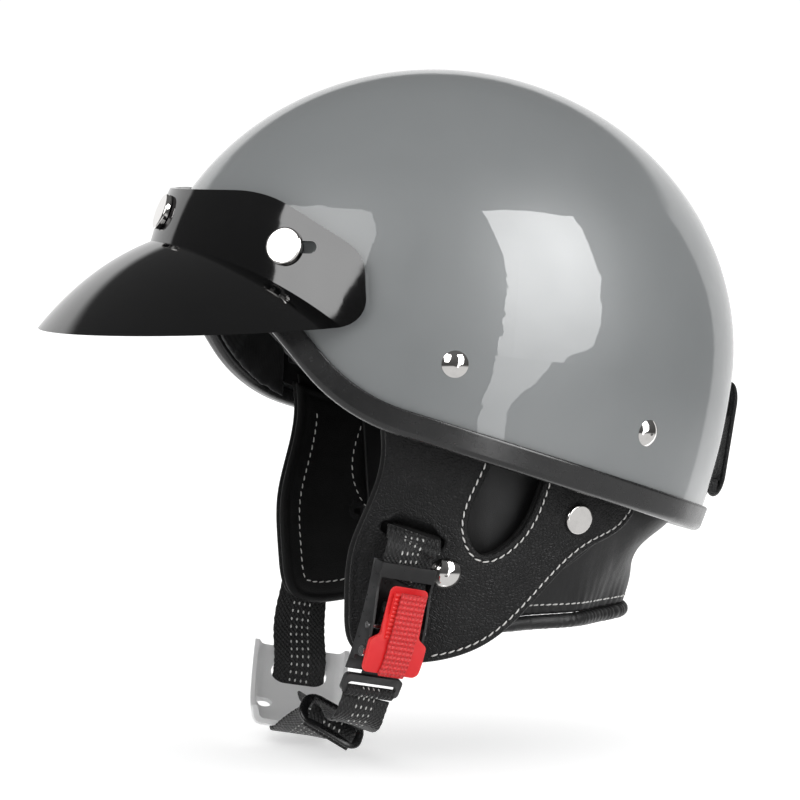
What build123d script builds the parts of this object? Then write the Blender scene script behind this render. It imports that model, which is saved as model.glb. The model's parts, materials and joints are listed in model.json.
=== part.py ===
"""Half shell motorcycle helmet with a visor held by snaps, leather ear flaps, neck curtain and ratchet chin strap.

Millimetres, +X is the wearer's left, -Y is forward, +Z is up. The origin is the reference point of the
head cavity, on the middle plane at brow level.
"""
from build123d import *
import math
import os

overrun = 20.0
fit_gap = 0.3
running_gap = 0.05

# Shell: an egg of two half ellipsoids that meet at its widest level, pitched with its rear down
half_width = 111.0
half_length = 140.0
crown_height = 127.5
skirt_height = 200.0
dome_pitch_degrees = 6.8
shell_wall = 3.0

# Rim, seen from the side: a level brow edge, a slope in front of the ear and a long run to the nape
rim_brow_forward = 114.5
rim_brow_height = 36.0
rim_brow_radius = 20.0
rim_ear_forward = 72.4
rim_ear_drop = 23.0
rim_ear_radius = 75.0
rim_reach = 165.0
rim_nape_drop = 100.1

# Edge trim, a rubber channel over the shell's edge
trim_height = 12.2
trim_web = 2.5
trim_gap = 1.1
trim_proud = 2.3
trim_leg = 3.0
trim_leg_rise = 3.4
trim_round = 3.4
trim_lip_round = 1.0
trim_step_degrees = 4

# Impact liner and comfort pads
liner_thickness = 14.0
liner_rim_rise = 6.5
pad_thickness = 7.0
pad_gap = 0.7
liner_gap = 0.6
pad_parting = 0.8
crown_pad_floor = 62.0
brow_pad_rear = 52.0
nape_pad_front = 82.0
brow_pad_sag = 1.0

# Visor: a band round the forehead and a bill that grows out of it
visor_wall = 2.2
band_half_width = 118.0
band_half_length = 142.5
band_half_height = 158.0
bill_forward = 102.2
bill_drop = 140.0
bill_half_width = 172.4
bill_half_length = 131.9
bill_half_height = 195.4
visor_floor = 8.6
visor_top = 73.0
visor_wing_rear = 64.5
visor_wing_radius = 15.0
visor_wing_forward = 84.0
visor_slot_width = 5.6
visor_slot_length = 24.0

# Snaps of the visor
cap_radius = 8.5
cap_thickness = 2.6
cap_round = 1.0
socket_radius = 6.2
stud_radius = 2.6
stud_flange_radius = 6.5
stud_flange = 0.9
stud_shank_radius = 2.0
stud_tail = 1.0
cap_shank_radius = 2.1
socket_gap = 0.6
socket_web = 1.0
socket_depth = 2.4
brow_snap_height = 62.0
side_snap_forward = 95.0
side_snap_height = 48.5

# Rivets that hold the chin strap in the shell
rivet_head_radius = 6.0
rivet_head_crown = 2.4
rivet_shank_radius = 2.2
rivet_tail = 1.0
washer_radius = 7.5
washer_thickness = 1.2
front_rivet_forward = 25.7
front_rivet_drop = 2.6
rear_rivet_back = 69.6
rear_rivet_drop = 36.1

rivet_tail_radius = 3.6
washer_floor = 6.6
riser_depth = 4.5
riser_run = 9.0
riser_overlap = 3.0
front_riser_forward = 32.0
rear_riser_back = 62.0

# Head form that the flaps and the webbing lie on: a cone, narrower than it is long
head_half_length = 119.0
head_taper_share = 0.177
head_width_share = 0.77
head_depth = 150.0

# Ear flaps: leather outside, webbing in the middle, padded lining inside
flap_face = 4.0
leather_thickness = 2.8
lining_thickness = 4.0
flap_gap = 0.6
flap_length = 142.0
flap_height = 123.0
flap_front = 62.0
flap_top_drop = 16.0
flap_round = 9.0
flap_tuck = 8.7
flap_edge_inset = 1.0
right_flap_rise = 12.0
flap_outline_shares = (
    (0.10, 0.0), (0.09, 0.22), (0.01, 0.58), (0.004, 0.80), (0.03, 0.95), (0.22, 1.0), (0.45, 0.918),
    (0.627, 0.731), (0.789, 0.590), (0.888, 0.545), (0.965, 0.46), (1.0, 0.30), (0.70, 0.12),
    (0.606, 0.313), (0.475, 0.575), (0.40, 0.60), (0.36, 0.54), (0.393, 0.34), (0.43, 0.02),
)

# Inner webbing that carries the chin strap from the rivets to the slit of each flap
webbing_thickness = 1.4
webbing_width = 25.0
webbing_outline_shares = (
    (0.14, 0.0), (0.317, 0.0), (0.282, 0.44), (0.296, 0.602), (0.50, 0.61), (0.754, 0.236),
    (0.93, 0.293), (0.549, 0.74), (0.225, 0.683), (0.12, 0.569), (0.134, 0.44),
)
slit_forward = 36.0
slit_drop = 80.5
slit_length = 28.5
slit_width = 5.0
slit_slope_degrees = 18.6
riser_width = 18.0

# Snaps of the flaps: a domed one in front, a flat one behind
flap_snap_radius = 7.0
flap_snap_crown = 3.4
flap_snap_back_radius = 6.0
front_snap_forward = 21.6
front_snap_drop = 97.9
rear_snap_back = 41.3
rear_snap_drop = 75.3
snap_prongs = 8
snap_prong_share = 0.72
snap_shank_radius = 1.6
snap_seat = 0.35
snap_flat_height = 1.6
snap_back_thickness = 1.2

# Neck curtain, a soft skirt that hangs from the nape with loose folds and a gathered hem
curtain_thickness = 2.4
curtain_front_degrees = 102.0
curtain_step_degrees = 6.0
curtain_drops = (40.0, 66.0, 80.0, 87.0, 95.0, 108.0, 123.5)
curtain_half_widths = (79.3, 76.0, 74.0, 73.0, 71.6, 69.2, 66.6)
curtain_half_lengths = (106.0, 101.5, 99.5, 98.5, 97.0, 92.0, 88.0)
curtain_bulges = (8.0, 14.0, 15.5, 11.0, 0.0, 0.0, 0.0)
curtain_bulge_degrees = 32.0
curtain_fold = 1.3
curtain_folds = 11
hem_radius = 3.4
hem_round_share = 0.85
curtain_floor = 120.6
curtain_top_rise = 6.2

# Ratchet buckle, drawn flat: first axis across the strap to the rear, second up the strap, third outwards
buckle_place = (86.7, -42.8, -97.0)
buckle_across = (-0.2720, 0.9421, -0.1960)
buckle_outwards = (0.9572, 0.2439, -0.1560)
swing_radius = 156.4
swing_level = -18.7
frame_width = 28.8
frame_sheet = 1.2
frame_floor_sheet = 1.5
frame_bottom = -46.0
frame_top = 4.6
frame_cheek_height = 3.2
bar_thickness = 1.9
bar_length = 6.6
lever_pin_radius = 1.5
lever_pin_level = -35.6
lever_pin_height = 5.6
pin_head_radius = 2.6
pin_head = 0.8
pawl_pin_radius = 1.0
pawl_pin_level = -24.0
pawl_pin_height = 4.9
pawl_half_width = 6.5
lever_width = 20.0
lever_wing_width = 29.4
lever_top = -4.2
lever_nose = -44.0
lever_face = 10.4
lever_skin = 2.0
lever_ribs = 11
lever_rib = 0.5
tongue_width = 13.0
tongue_thickness = 1.1
tongue_play = 0.4
tooth_height = 1.1
tooth_pitch = 2.4
tooth_count = 11
tongue_tip = -13.5
loop_bar_level = -52.0
loop_width = 30.0
loop_height = 9.0
loop_slot = 3.6
loop_thickness = 2.6
spring_wire = 0.35
spring_radius = 2.35
spring_turns = 5
spring_pitch = 1.3
pin_head_share = 1.6
floor_drop = 1.0
cheek_foot = 1.2
cheek_step = 0.2
cheek_toe = 2.6
cheek_round = 1.2
ear_radius = 2.6
ear_round = 2.4
bar_top = 4.1
lever_crown = 1.6
lever_lug_radius = 3.2
lever_lug_outer = 10.9
lever_lug_inner = 8.0
lever_neck = 3.0
lever_corner = 3.0
lever_rib_low = -27.0
lever_rib_high = -8.0
lever_rib_reach = 8.0
pawl_tube_radius = 2.0
pawl_reach = 7.0
pawl_lift = 0.25
pawl_edge = 1.2
tongue_lift = -0.6
tooth_slope_share = 0.7
tooth_land_share = 0.15
loop_corner = 2.2
loop_slot_rise = -0.8

# Chin strap loop under the chin
strap_width = 25.0
strap_thickness = 1.5
strap_seat = 0.6

strap_stations = 14
strap_long_stations = 60
strap_rise = 2.4
swing_place = (-77.6, -41.0, -100.0)
stub_shares = (0.32, 0.5, 0.68, 0.85)
stub_lean_share = 2.2
swing_up = (0.0, 0.2037, 0.9790)
strap_far_across_shares = (-0.22, 0.97, -0.1)
strap_far_middle = (-77.8, -45.5, -122.0)
strap_far_low = (-72.8, -49.5, -143.0)
loop_half_width = 78.0
loop_forward = 66.0
loop_drop = 184.0

# Chin cup, a moulded trough on an arc
cup_place = (-22.0, -55.0, -125.0)
cup_axis = (0.2000, 0.9684, -0.1490)
cup_radius = 57.0
cup_wall = 2.2
cup_width = 42.0
cup_flange = 7.0
cup_flange_radius = 4.0
cup_far_degrees = 62.0
cup_near_degrees = -18.0
cup_slot_degrees = 48.0
cup_slot_length = 14.0
cup_slot_step_degrees = 4.0
cup_near_slot_degrees = -6.0
cup_hole_inset_degrees = 5.0
cup_vent_degrees = 24.0
cup_vent_radius = 4.0
cup_vent_spacing = 16.0
cup_flare = 2.0
cup_lip = 1.0
cup_slot_width = 27.0
cup_hole_radius = 2.2
cup_hole_spacing = 9.0

# Tri-glide that takes up the spare webbing
glide_place = (34.0, -61.5, -169.5)
glide_across = (0.15, 0.85, -0.52)
glide_length = 32.0
glide_height = 19.0
glide_rod = 2.4
glide_corner = 2.2
tail_length = 26.0
tail_drop = 7.0
wrap_thickness = 1.2

# Goggle strap keeper on the nape, a leather tab that snaps shut
keeper_snap_drop = 30.0
keeper_width = 22.0
keeper_thickness = 2.4
keeper_length = 55.5
keeper_base = 6.0
keeper_base_width = 18.0
keeper_stud = 4.6
keeper_cap_radius = 7.5
keeper_cap_crown = 2.6

os.makedirs("parts", exist_ok=True)


def save(name, shape):
    """Write one sub-part under its own name."""
    export_step(shape, f"parts/{name}.step")


def egg_half_ring(inset, wall, tall, height, side):
    """Half outline of one half of the egg, from the axis to its widest level and down to height."""
    outer = Ellipse(half_length - inset, tall - inset)
    inner = Ellipse(half_length - inset - wall, tall - inset - wall)
    window = Pos(half_length / 2, side * height / 2) * Rectangle(half_length, height)
    return (outer - inner) & window


def layer(inset, wall, cutter):
    """A curved layer of the helmet, inset from the shell's outer face, kept where the cutter is."""
    crown = egg_half_ring(inset, wall, crown_height, crown_height, 1)
    skirt = egg_half_ring(inset, wall, skirt_height, half_width, -1)
    halves = []
    for outline in (crown, skirt):
        half = revolve(Plane.XZ * outline, axis=Axis.Z)
        half = scale(half, by=((half_width / half_length), 1, 1))
        halves.append((Rot(X=-dome_pitch_degrees) * half) & cutter)
    return halves[0] + halves[1]


def rim_wire():
    """Side view of the shell's edge, front to rear."""
    return FilletPolyline(
        (-rim_reach, rim_brow_height),
        (-rim_brow_forward, rim_brow_height),
        (-rim_ear_forward, -rim_ear_drop),
        (rim_reach, -rim_nape_drop),
        radius=[rim_brow_radius, rim_ear_radius],
    )


def above_rim(rise=0.0):
    """Everything above the shell's edge, or above a line that stands a rise over it."""
    line = rim_wire()
    top = half_length + crown_height
    closing = Polyline(line @ 1, (rim_reach, top), (-rim_reach, top), line @ 0)
    face = make_face([line, closing])
    if rise:
        face = offset(face, amount=-rise)
    return extrude(Plane.YZ * face, amount=half_width + overrun, both=True)


def egg_value(x, y, z):
    """Below zero inside the shell's outer face, above zero outside."""
    pitch = math.radians(dome_pitch_degrees)
    along = y * math.cos(pitch) - z * math.sin(pitch)
    up = y * math.sin(pitch) + z * math.cos(pitch)
    tall = crown_height if up > 0 else skirt_height
    return (x / half_width) ** 2 + (along / half_length) ** 2 + (up / tall) ** 2 - 1


def egg_normal(x, y, z):
    """Outward direction of the shell's outer face at a point on it."""
    pitch = math.radians(dome_pitch_degrees)
    along = y * math.cos(pitch) - z * math.sin(pitch)
    up = y * math.sin(pitch) + z * math.cos(pitch)
    tall = crown_height if up > 0 else skirt_height
    slope_x = x / half_width**2
    slope_along = along / half_length**2
    slope_up = up / tall**2
    slope_y = slope_along * math.cos(pitch) + slope_up * math.sin(pitch)
    slope_z = -slope_along * math.sin(pitch) + slope_up * math.cos(pitch)
    return Vector(slope_x, slope_y, slope_z).normalized()


def bisect(value, low, high):
    """Where a rising value crosses zero."""
    for _ in range(50):
        middle = (low + high) / 2
        if value(middle) > 0:
            high = middle
        else:
            low = middle
    return (low + high) / 2


def egg_side(y, z):
    """Half width of the shell at a place in the side view."""
    return bisect(lambda x: egg_value(x, y, z), 0, half_width + overrun)


def rim_ends(wire):
    """Shares of the rim wire at which it meets the middle plane, in front and behind."""
    def inside(share):
        place = wire @ share
        return egg_value(0, place.X, place.Y)

    middle_share = 0.5
    front = bisect(lambda share: -inside(share), 0, middle_share)
    rear = bisect(inside, middle_share, 1)
    return front, rear


def rim_point(turn_degrees, wire, ends):
    """Point of the shell's edge, 0 degrees in front on the middle plane and 180 behind."""
    front, rear = ends
    share = front + (rear - front) * (1 - math.cos(math.radians(turn_degrees))) / 2
    place = wire @ share
    return Vector(egg_side(place.X, place.Y), place.X, place.Y)


def trim_section():
    """Round-backed channel that grips the shell's edge: first axis outwards, second axis up the shell."""
    low = -trim_web - trim_gap
    high = trim_height + low
    inner = -shell_wall - trim_gap
    outline = FilletPolyline(
        (trim_gap, high), (trim_proud, high), (trim_proud, low), (inner - trim_leg, low),
        (inner - trim_leg, trim_leg_rise), (inner, trim_leg_rise), (inner, -trim_gap), (trim_gap, -trim_gap),
        close=True,
        radius=[0.2, trim_lip_round, trim_round, trim_round, 0.8, 0.4, 0.4, 0.4],
    )
    return make_face(outline)


def edge_trim():
    """Half a channel lofted round the rim from brow to nape, and its mirror image."""
    wire = rim_wire()
    ends = rim_ends(wire)
    profile = trim_section()
    turns = range(0, 180 + trim_step_degrees, trim_step_degrees)
    points = [rim_point(turn, wire, ends) for turn in turns]
    sections = []
    for index, point in enumerate(points):
        before = points[max(index - 1, 0)]
        after = points[min(index + 1, len(points) - 1)]
        along = (after - before).normalized()
        if index == 0 or index == len(points) - 1:
            along = Vector(1, 0, 0)
            point = Vector(0, point.Y, point.Z)
        out = egg_normal(*point)
        out = (out - along * out.dot(along)).normalized()
        plane = Plane(origin=point, x_dir=out, z_dir=along)
        if plane.y_dir.Z < 0:
            plane = Plane(origin=point, x_dir=out, z_dir=-along)
        sections.append(plane * profile)
    half = loft(sections)
    return half + mirror(half, about=Plane.YZ)


def egg_point(y, z, side=1):
    """Point of the shell's outer face at a place in the side view."""
    return Vector(side * egg_side(y, z), y, z)


def comfort_pad(cutter):
    """A piece of the quilted lining inside the impact liner."""
    return layer(shell_wall + liner_gap + liner_thickness + pad_gap, pad_thickness, cutter)


def block(x_low, x_high, y_low, y_high, z_low, z_high):
    """Axis-aligned box between two corners."""
    size = Box(x_high - x_low, y_high - y_low, z_high - z_low)
    return Pos((x_low + x_high) / 2, (y_low + y_high) / 2, (z_low + z_high) / 2) * size


def pads():
    """Crown, brow, side and nape pads with a parting between neighbours."""
    side = half_width
    reach = half_length
    half_part = pad_parting / 2
    low = -rim_nape_drop
    crown_floor = crown_pad_floor + half_part
    top = crown_pad_floor - half_part
    crown = block(-side, side, -reach, reach, crown_floor, crown_height)
    brow = block(-side, side, -reach, -brow_pad_rear - half_part, low, top)
    cheek = block(0, side, -brow_pad_rear + half_part, nape_pad_front - half_part, low, top)
    nape = block(-side, side, nape_pad_front + half_part, reach, low, top)
    side_pad = comfort_pad(cheek & above_rim(flap_tuck + 2 * riser_overlap + fit_gap))
    return {
        "crown_pad": comfort_pad(crown),
        "brow_pad": comfort_pad(brow & above_rim(-brow_pad_sag)),
        "side_pad_left": side_pad,
        "side_pad_right": mirror(side_pad, about=Plane.YZ),
        "nape_pad": comfort_pad(nape & above_rim(liner_rim_rise)),
    }


def ellipsoid_ring(half_wide, half_long, half_tall, wall):
    """Hollow ellipsoid of an even wall, made as a turned ring drawn narrower."""
    outer = Ellipse(half_long, half_tall)
    inner = Ellipse(half_long - wall, half_tall - wall)
    window = Pos(half_long / 2, 0) * Rectangle(half_long, 2 * half_tall)
    ring = revolve(Plane.XZ * ((outer - inner) & window), axis=Axis.Z)
    return scale(ring, by=(half_wide / half_long, 1, 1))


def ellipsoid(half_wide, half_long, half_tall):
    """Solid ellipsoid."""
    window = Pos(half_long / 2, 0) * Rectangle(half_long, 2 * half_tall)
    body = revolve(Plane.XZ * (Ellipse(half_long, half_tall) & window), axis=Axis.Z)
    return scale(body, by=(half_wide / half_long, 1, 1))


def visor_outline():
    """Side view of the visor: flat lower edge, rounded wing over the temple, straight upper edge."""
    outline = FilletPolyline(
        (-rim_reach - bill_half_length, visor_top),
        (-side_snap_forward - visor_slot_width, visor_top),
        (-visor_wing_rear, side_snap_height - cap_thickness),
        (-visor_wing_rear, visor_floor + visor_slot_width),
        (-rim_reach - bill_half_length, visor_floor - 2 * visor_wall),
        close=True,
        radius=[visor_wall, 2 * visor_wing_radius, visor_wing_radius, visor_wing_radius - visor_wall,
                visor_wall],
    )
    floor = block(-half_length, half_length, -2 * half_length, 0, visor_floor, visor_top + overrun)
    return extrude(Plane.YZ * make_face(outline), amount=half_width + overrun, both=True) & floor


def band_point(forward, height, side=1):
    """Point of the visor band's outer face and its outward direction."""
    rest = 1 - (forward / band_half_length) ** 2 - (height / band_half_height) ** 2
    x = side * band_half_width * math.sqrt(max(rest, 0))
    normal = Vector(x / band_half_width**2, -forward / band_half_length**2, height / band_half_height**2)
    return Vector(x, -forward, height), normal.normalized()


def visor_snap_planes():
    """Planes of the three snaps on the band: brow, left and right, third axis outwards."""
    front = band_half_length * math.sqrt(1 - (brow_snap_height / band_half_height) ** 2)
    planes = []
    for forward, height, side in (
        (front, brow_snap_height, 1),
        (side_snap_forward, side_snap_height, 1),
        (side_snap_forward, side_snap_height, -1),
    ):
        point, normal = band_point(forward, height, side)
        if forward == front:
            point = Vector(0, point.Y, point.Z)
            normal = Vector(0, normal.Y, normal.Z).normalized()
        level = Vector(0, 0, 1).cross(normal).normalized()
        planes.append(Plane(origin=point, x_dir=level, z_dir=normal))
    return planes


def visor_peak():
    """One moulded piece: the band and the bill, joined along the crease and hollowed together."""
    outline = visor_outline()
    place = Pos(0, -bill_forward, -bill_drop)
    shells = []
    for inset in (0, visor_wall):
        band = ellipsoid(band_half_width - inset, band_half_length - inset, band_half_height - inset)
        bill = ellipsoid(bill_half_width - inset, bill_half_length - inset, bill_half_height - inset)
        if not inset:
            band = band & outline
            bill = (place * bill) & outline
        else:
            bill = place * bill
        shells.append(band + bill)
    visor = shells[0] - shells[1]
    for index, plane in enumerate(visor_snap_planes()):
        hole = Circle(visor_slot_width / 2)
        if index:
            towards_rear = 1 if index == 1 else -1
            slot = SlotCenterToCenter(visor_slot_length / 2, visor_slot_width)
            hole = Pos(towards_rear * visor_slot_length / 4, 0) * slot
        visor -= plane * extrude(hole, amount=2 * visor_wall, both=True)
    return visor


def shell_plane(y, z, side=1):
    """Plane on the shell's outer face, first axis to the rear, third axis outwards."""
    point = egg_point(y, z, side)
    out = egg_normal(*point)
    return Plane(origin=point, x_dir=Vector(0, 1, 0), z_dir=out)


def rod(radius, low, high):
    """Round bar along the third axis between two levels."""
    return Pos(0, 0, low) * extrude(Circle(radius), amount=high - low)


def disc_ring(outer, inner, low, high):
    """Flat ring along the third axis between two levels."""
    return Pos(0, 0, low) * extrude(Circle(outer) - Circle(inner), amount=high - low)


def dome(radius, crown, base=0.0):
    """Domed head of a given radius and crown on a short straight land that starts at base."""
    ball = (radius**2 + crown**2) / (2 * crown)
    cap = Pos(0, 0, crown - ball) * Sphere(ball)
    return cap & rod(radius, base, crown + overrun)


def egg_solid():
    """The shell's outer face as a solid, for seating what stands on it."""
    halves = []
    for tall, reach, side in ((crown_height, crown_height, 1), (skirt_height, half_width, -1)):
        window = Pos(half_length / 2, side * reach / 2) * Rectangle(half_length, reach)
        outline = Ellipse(half_length, tall) & window
        half = scale(revolve(Plane.XZ * outline, axis=Axis.Z), by=(half_width / half_length, 1, 1))
        halves.append(Rot(X=-dome_pitch_degrees) * half)
    return halves[0] + halves[1]


def rivet_planes():
    """Places of the four strap rivets: front and rear, left and right."""
    planes = []
    for side in (1, -1):
        planes.append(shell_plane(-front_rivet_forward, -front_rivet_drop, side))
        planes.append(shell_plane(rear_rivet_back, -rear_rivet_drop, side))
    return planes


def rivets(egg):
    """Domed rivets through the shell, webbing and washer, each with its closed tail inside."""
    solids = []
    for plane in rivet_planes():
        head = plane * dome(rivet_head_radius, rivet_head_crown, -rivet_tail)
        shank = plane * rod(rivet_shank_radius, -washer_floor, 0)
        tail = plane * rod(rivet_tail_radius, -washer_floor - rivet_tail, -washer_floor)
        solids.append((head - egg) + shank + tail)
    return solids


def washers():
    """Washers that spread the pull of the rivets on the webbing."""
    top = -washer_floor + washer_thickness
    ring = disc_ring(washer_radius, rivet_shank_radius + running_gap, -washer_floor, top)
    return [plane * ring for plane in rivet_planes()]


def visor_snap_seats():
    """Planes on the shell under the visor's snaps, with the visor's plane of each."""
    seats = []
    for plane in visor_snap_planes():
        def inside(depth):
            place = plane.origin - plane.z_dir * depth
            return -egg_value(place.X, place.Y, place.Z)

        depth = bisect(inside, 0, half_width / 2)
        seats.append((plane, depth))
    return seats


def visor_snaps(egg):
    """Caps clinched to sockets behind the visor, and studs closed in the shell."""
    caps, sockets, studs = [], [], []
    socket_top = -visor_wall - socket_gap
    split = socket_top - socket_web
    socket_low = socket_top - socket_depth
    for plane, depth in visor_snap_seats():
        cap = rod(cap_radius, 0, cap_thickness)
        cap = fillet(cap.edges().group_by(Axis.Z)[-1], radius=cap_round)
        caps.append(plane * (cap + rod(cap_shank_radius, split, 0)))
        web = disc_ring(socket_radius, cap_shank_radius, split, socket_top)
        cup = disc_ring(socket_radius, stud_radius + running_gap, socket_low, split)
        sockets.append(plane * (web + cup))
        flange = plane * rod(stud_flange_radius, -depth - stud_flange, -depth + stud_flange)
        post = plane * rod(stud_radius, -depth, split - fit_gap)
        shank = plane * rod(stud_shank_radius, -depth - shell_wall - 2 * stud_tail, -depth)
        tail_top = -depth - shell_wall - stud_tail
        tail = plane * rod(stud_radius + stud_tail, tail_top - stud_tail, tail_top)
        studs.append(((flange + post) - egg) + shank + tail)
    return caps, sockets, studs


def shell_holes():
    """Clearance holes for the rivets and the visor's studs."""
    tools = []
    for plane in rivet_planes():
        tools.append(plane * rod(rivet_shank_radius + running_gap, -overrun / 2, overrun / 2))
    for plane, depth in visor_snap_seats():
        reach = -depth - shell_wall - 2 * stud_tail
        tools.append(plane * rod(stud_shank_radius + running_gap, reach, -depth + stud_flange))
    return tools


def form_radius(grow, z):
    """Half width of the head form, grown by an amount, at a level."""
    slope = head_taper_share * head_width_share
    return head_half_length * head_width_share + grow + slope * z


def form_layer(grow, wall):
    """Layer of an even thickness round the head form, its outer face grown from the form."""
    top = form_radius(grow, 0)
    low = form_radius(grow, -head_depth)
    outline = Polyline(
        (top, 0), (low, -head_depth), (low - wall, -head_depth), (top - wall, 0), close=True
    )
    ring = revolve(Plane.XZ * make_face(outline), axis=Axis.Z)
    return scale(ring, by=(1, 1 / head_width_share, 1))


def form_plane(y, z, grow, side=1):
    """Plane on the grown head form, first axis to the rear, third axis outwards."""
    slope = head_taper_share * head_width_share
    radius = form_radius(grow, z)
    x = math.sqrt(radius**2 - (head_width_share * y) ** 2)
    out = Vector(side * x, head_width_share**2 * y, -slope * radius).normalized()
    return Plane(origin=Vector(side * x, y, z), x_dir=Vector(0, 1, 0), z_dir=out)


def flap_prism(shares, side, rise):
    """Side outline of a flap layer drawn through to one side of the head."""
    points = []
    for along, down in shares:
        points.append((along * flap_length - flap_front, -flap_top_drop - down * flap_height))
    face = make_face(Spline(*points, periodic=True))
    prism = Pos(X=overrun) * extrude(Plane.YZ * face, amount=half_width)
    if side < 0:
        prism = mirror(prism, about=Plane.YZ)
    return Pos(Z=rise) * prism


def slit_tool(side, rise):
    """Slit of a flap through which the chin strap comes out."""
    slot = Rot(Z=-slit_slope_degrees) * SlotOverall(slit_length, slit_width)
    plane = Plane(origin=(0, -slit_forward, -slit_drop + rise), x_dir=(0, 1, 0), z_dir=(1, 0, 0))
    tool = plane * extrude(slot, amount=half_width)
    return mirror(tool, about=Plane.YZ) if side < 0 else tool


def flap_snap_places(side, rise):
    """Planes of the front and rear snap on a flap's outer face."""
    front = form_plane(-front_snap_forward, -front_snap_drop + rise, flap_face, side)
    rear = form_plane(rear_snap_back, -rear_snap_drop + rise, flap_face, side)
    return front, rear


def flap_depth():
    """Thickness of a flap from the leather's face to the lining's inner face."""
    return leather_thickness + webbing_thickness + lining_thickness + 2 * flap_gap


def flap(side, rise, rim_cut):
    """Leather, anchor webbing and lining of one ear flap."""
    front, rear = flap_snap_places(side, rise)
    hole = rod(snap_shank_radius + running_gap, -overrun, overrun)
    holes = [front * hole, rear * hole]
    slit = slit_tool(side, rise)
    grow = flap_face
    leather = form_layer(grow, leather_thickness) & flap_prism(flap_outline_shares, side, rise)
    leather = leather - rim_cut - slit - holes
    grow -= leather_thickness + flap_gap
    webbing = form_layer(grow, webbing_thickness) & flap_prism(webbing_outline_shares, side, rise)
    webbing = webbing - holes
    grow -= webbing_thickness + flap_gap
    lining = form_layer(grow, lining_thickness) & flap_prism(flap_outline_shares, side, rise)
    pocket = rod(flap_snap_back_radius + fit_gap, -overrun, -flap_depth() + snap_back_thickness)
    lining = lining - rim_cut - holes - [front * pocket, rear * pocket]
    return leather, webbing, lining


def flap_snaps():
    """Snap caps on the flaps' faces and their star-shaped backs inside the lining."""
    caps, backs = [], []
    depth = flap_depth()
    back_low = -depth - fit_gap
    points = []
    for index in range(2 * snap_prongs):
        turn = math.pi * index / snap_prongs
        radius = flap_snap_back_radius * (1 if index % 2 else snap_prong_share)
        points.append((radius * math.cos(turn), radius * math.sin(turn)))
    star = make_face(Polyline(*points, close=True)) - Circle(snap_shank_radius)
    star = Pos(0, 0, back_low) * extrude(star, amount=snap_back_thickness)
    shank = rod(snap_shank_radius, back_low, snap_seat)
    domed = Pos(0, 0, snap_seat) * dome(flap_snap_radius, flap_snap_crown)
    flat = rod(flap_snap_radius, snap_seat, snap_seat + snap_flat_height)
    flat = fillet(flat.edges().group_by(Axis.Z)[-1], radius=cap_round)
    for side, rise in ((1, 0.0), (-1, right_flap_rise)):
        front, rear = flap_snap_places(side, rise)
        caps.append(front * (domed + shank))
        caps.append(rear * (flat + shank))
        backs.append(front * star)
        backs.append(rear * star)
    return caps, backs


def resampled(stations, count):
    """Evenly spaced stations along a smooth curve through the given ones."""
    points = [Vector(*point) for point, across in stations]
    path = Spline(*points)
    lengths = [0.0]
    for before, after in zip(points, points[1:]):
        lengths.append(lengths[-1] + (after - before).length)
    even = []
    for index in range(count + 1):
        share = index / count
        place = share * lengths[-1]
        span = max(k for k in range(len(points) - 1) if lengths[k] <= place)
        part = (place - lengths[span]) / (lengths[span + 1] - lengths[span])
        first = Vector(*stations[span][1])
        second = Vector(*stations[span + 1][1])
        across = first + (second - first) * part
        even.append((tuple(path @ share), tuple(across)))
    return even


def ribbon(stations, width, thickness, ruled=False):
    """Flat webbing lofted through stations, each a point and a direction across."""
    sections = []
    points = [Vector(*point) for point, across in stations]
    for index, (point, across) in enumerate(stations):
        before = points[max(index - 1, 0)]
        after = points[min(index + 1, len(points) - 1)]
        along = (after - before).normalized()
        across = Vector(*across)
        across = (across - along * across.dot(along)).normalized()
        plane = Plane(origin=points[index], x_dir=across, z_dir=along)
        sections.append(plane * Rectangle(width, thickness))
    return loft(sections, ruled=ruled)


def riser_stations(plane, target):
    """Route of the webbing from beyond a rivet to the top of a flap."""
    seat = plane.origin - plane.z_dir * riser_depth
    towards = target - seat
    towards = (towards - plane.z_dir * towards.dot(plane.z_dir)).normalized()
    across = plane.z_dir.cross(towards)
    bend = seat + towards * riser_run
    return [
        (tuple(seat - towards * riser_run), tuple(across)),
        (tuple(bend), tuple(across)),
        (tuple(target), tuple(across)),
    ]


def riser_targets(side, wire):
    """Where the anchor webbing leaves the top of a flap, front and rear."""
    targets = []
    for y in (-front_riser_forward, rear_riser_back):
        share = bisect(lambda value: (wire @ value).X - y, 0, 1)
        z = (wire @ share).Y + flap_tuck + riser_overlap
        grow = flap_face - leather_thickness - flap_gap - webbing_thickness / 2
        targets.append(form_plane(y, z, grow, side).origin)
    return targets


def risers(side, wire, grow=0.0):
    """Both risers of one side, or the channels for them, grown all round."""
    planes = rivet_planes()
    pair = planes[:2] if side > 0 else planes[2:]
    solids = []
    for plane, target in zip(pair, riser_targets(side, wire)):
        stations = riser_stations(plane, target)
        solid = ribbon(stations, riser_width + 2 * grow, webbing_thickness + 2 * grow, ruled=True)
        if not grow:
            solid -= plane * rod(rivet_shank_radius + running_gap, -overrun, overrun)
        solids.append(solid)
    return solids


def curtain_row(index, turn):
    """Distance of the curtain's outer face from the axis, at a row and a turn from the rear."""
    wide = curtain_half_widths[index]
    long = curtain_half_lengths[index]
    reach = 1 / math.sqrt((math.sin(turn) / wide) ** 2 + (math.cos(turn) / long) ** 2)
    share = abs(math.degrees(turn)) / curtain_bulge_degrees
    if share < 1:
        reach += curtain_bulges[index] * (1 - share**2) ** 2
    depth = index / (len(curtain_drops) - 1)
    return reach - curtain_fold * depth * (1 + math.cos(curtain_folds * turn))


def curtain_turns():
    """Turns of the curtain's sections, rear in the middle."""
    count = round(2 * curtain_front_degrees / curtain_step_degrees)
    return [
        math.radians(-curtain_front_degrees + curtain_step_degrees * index) for index in range(count + 1)
    ]


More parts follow.
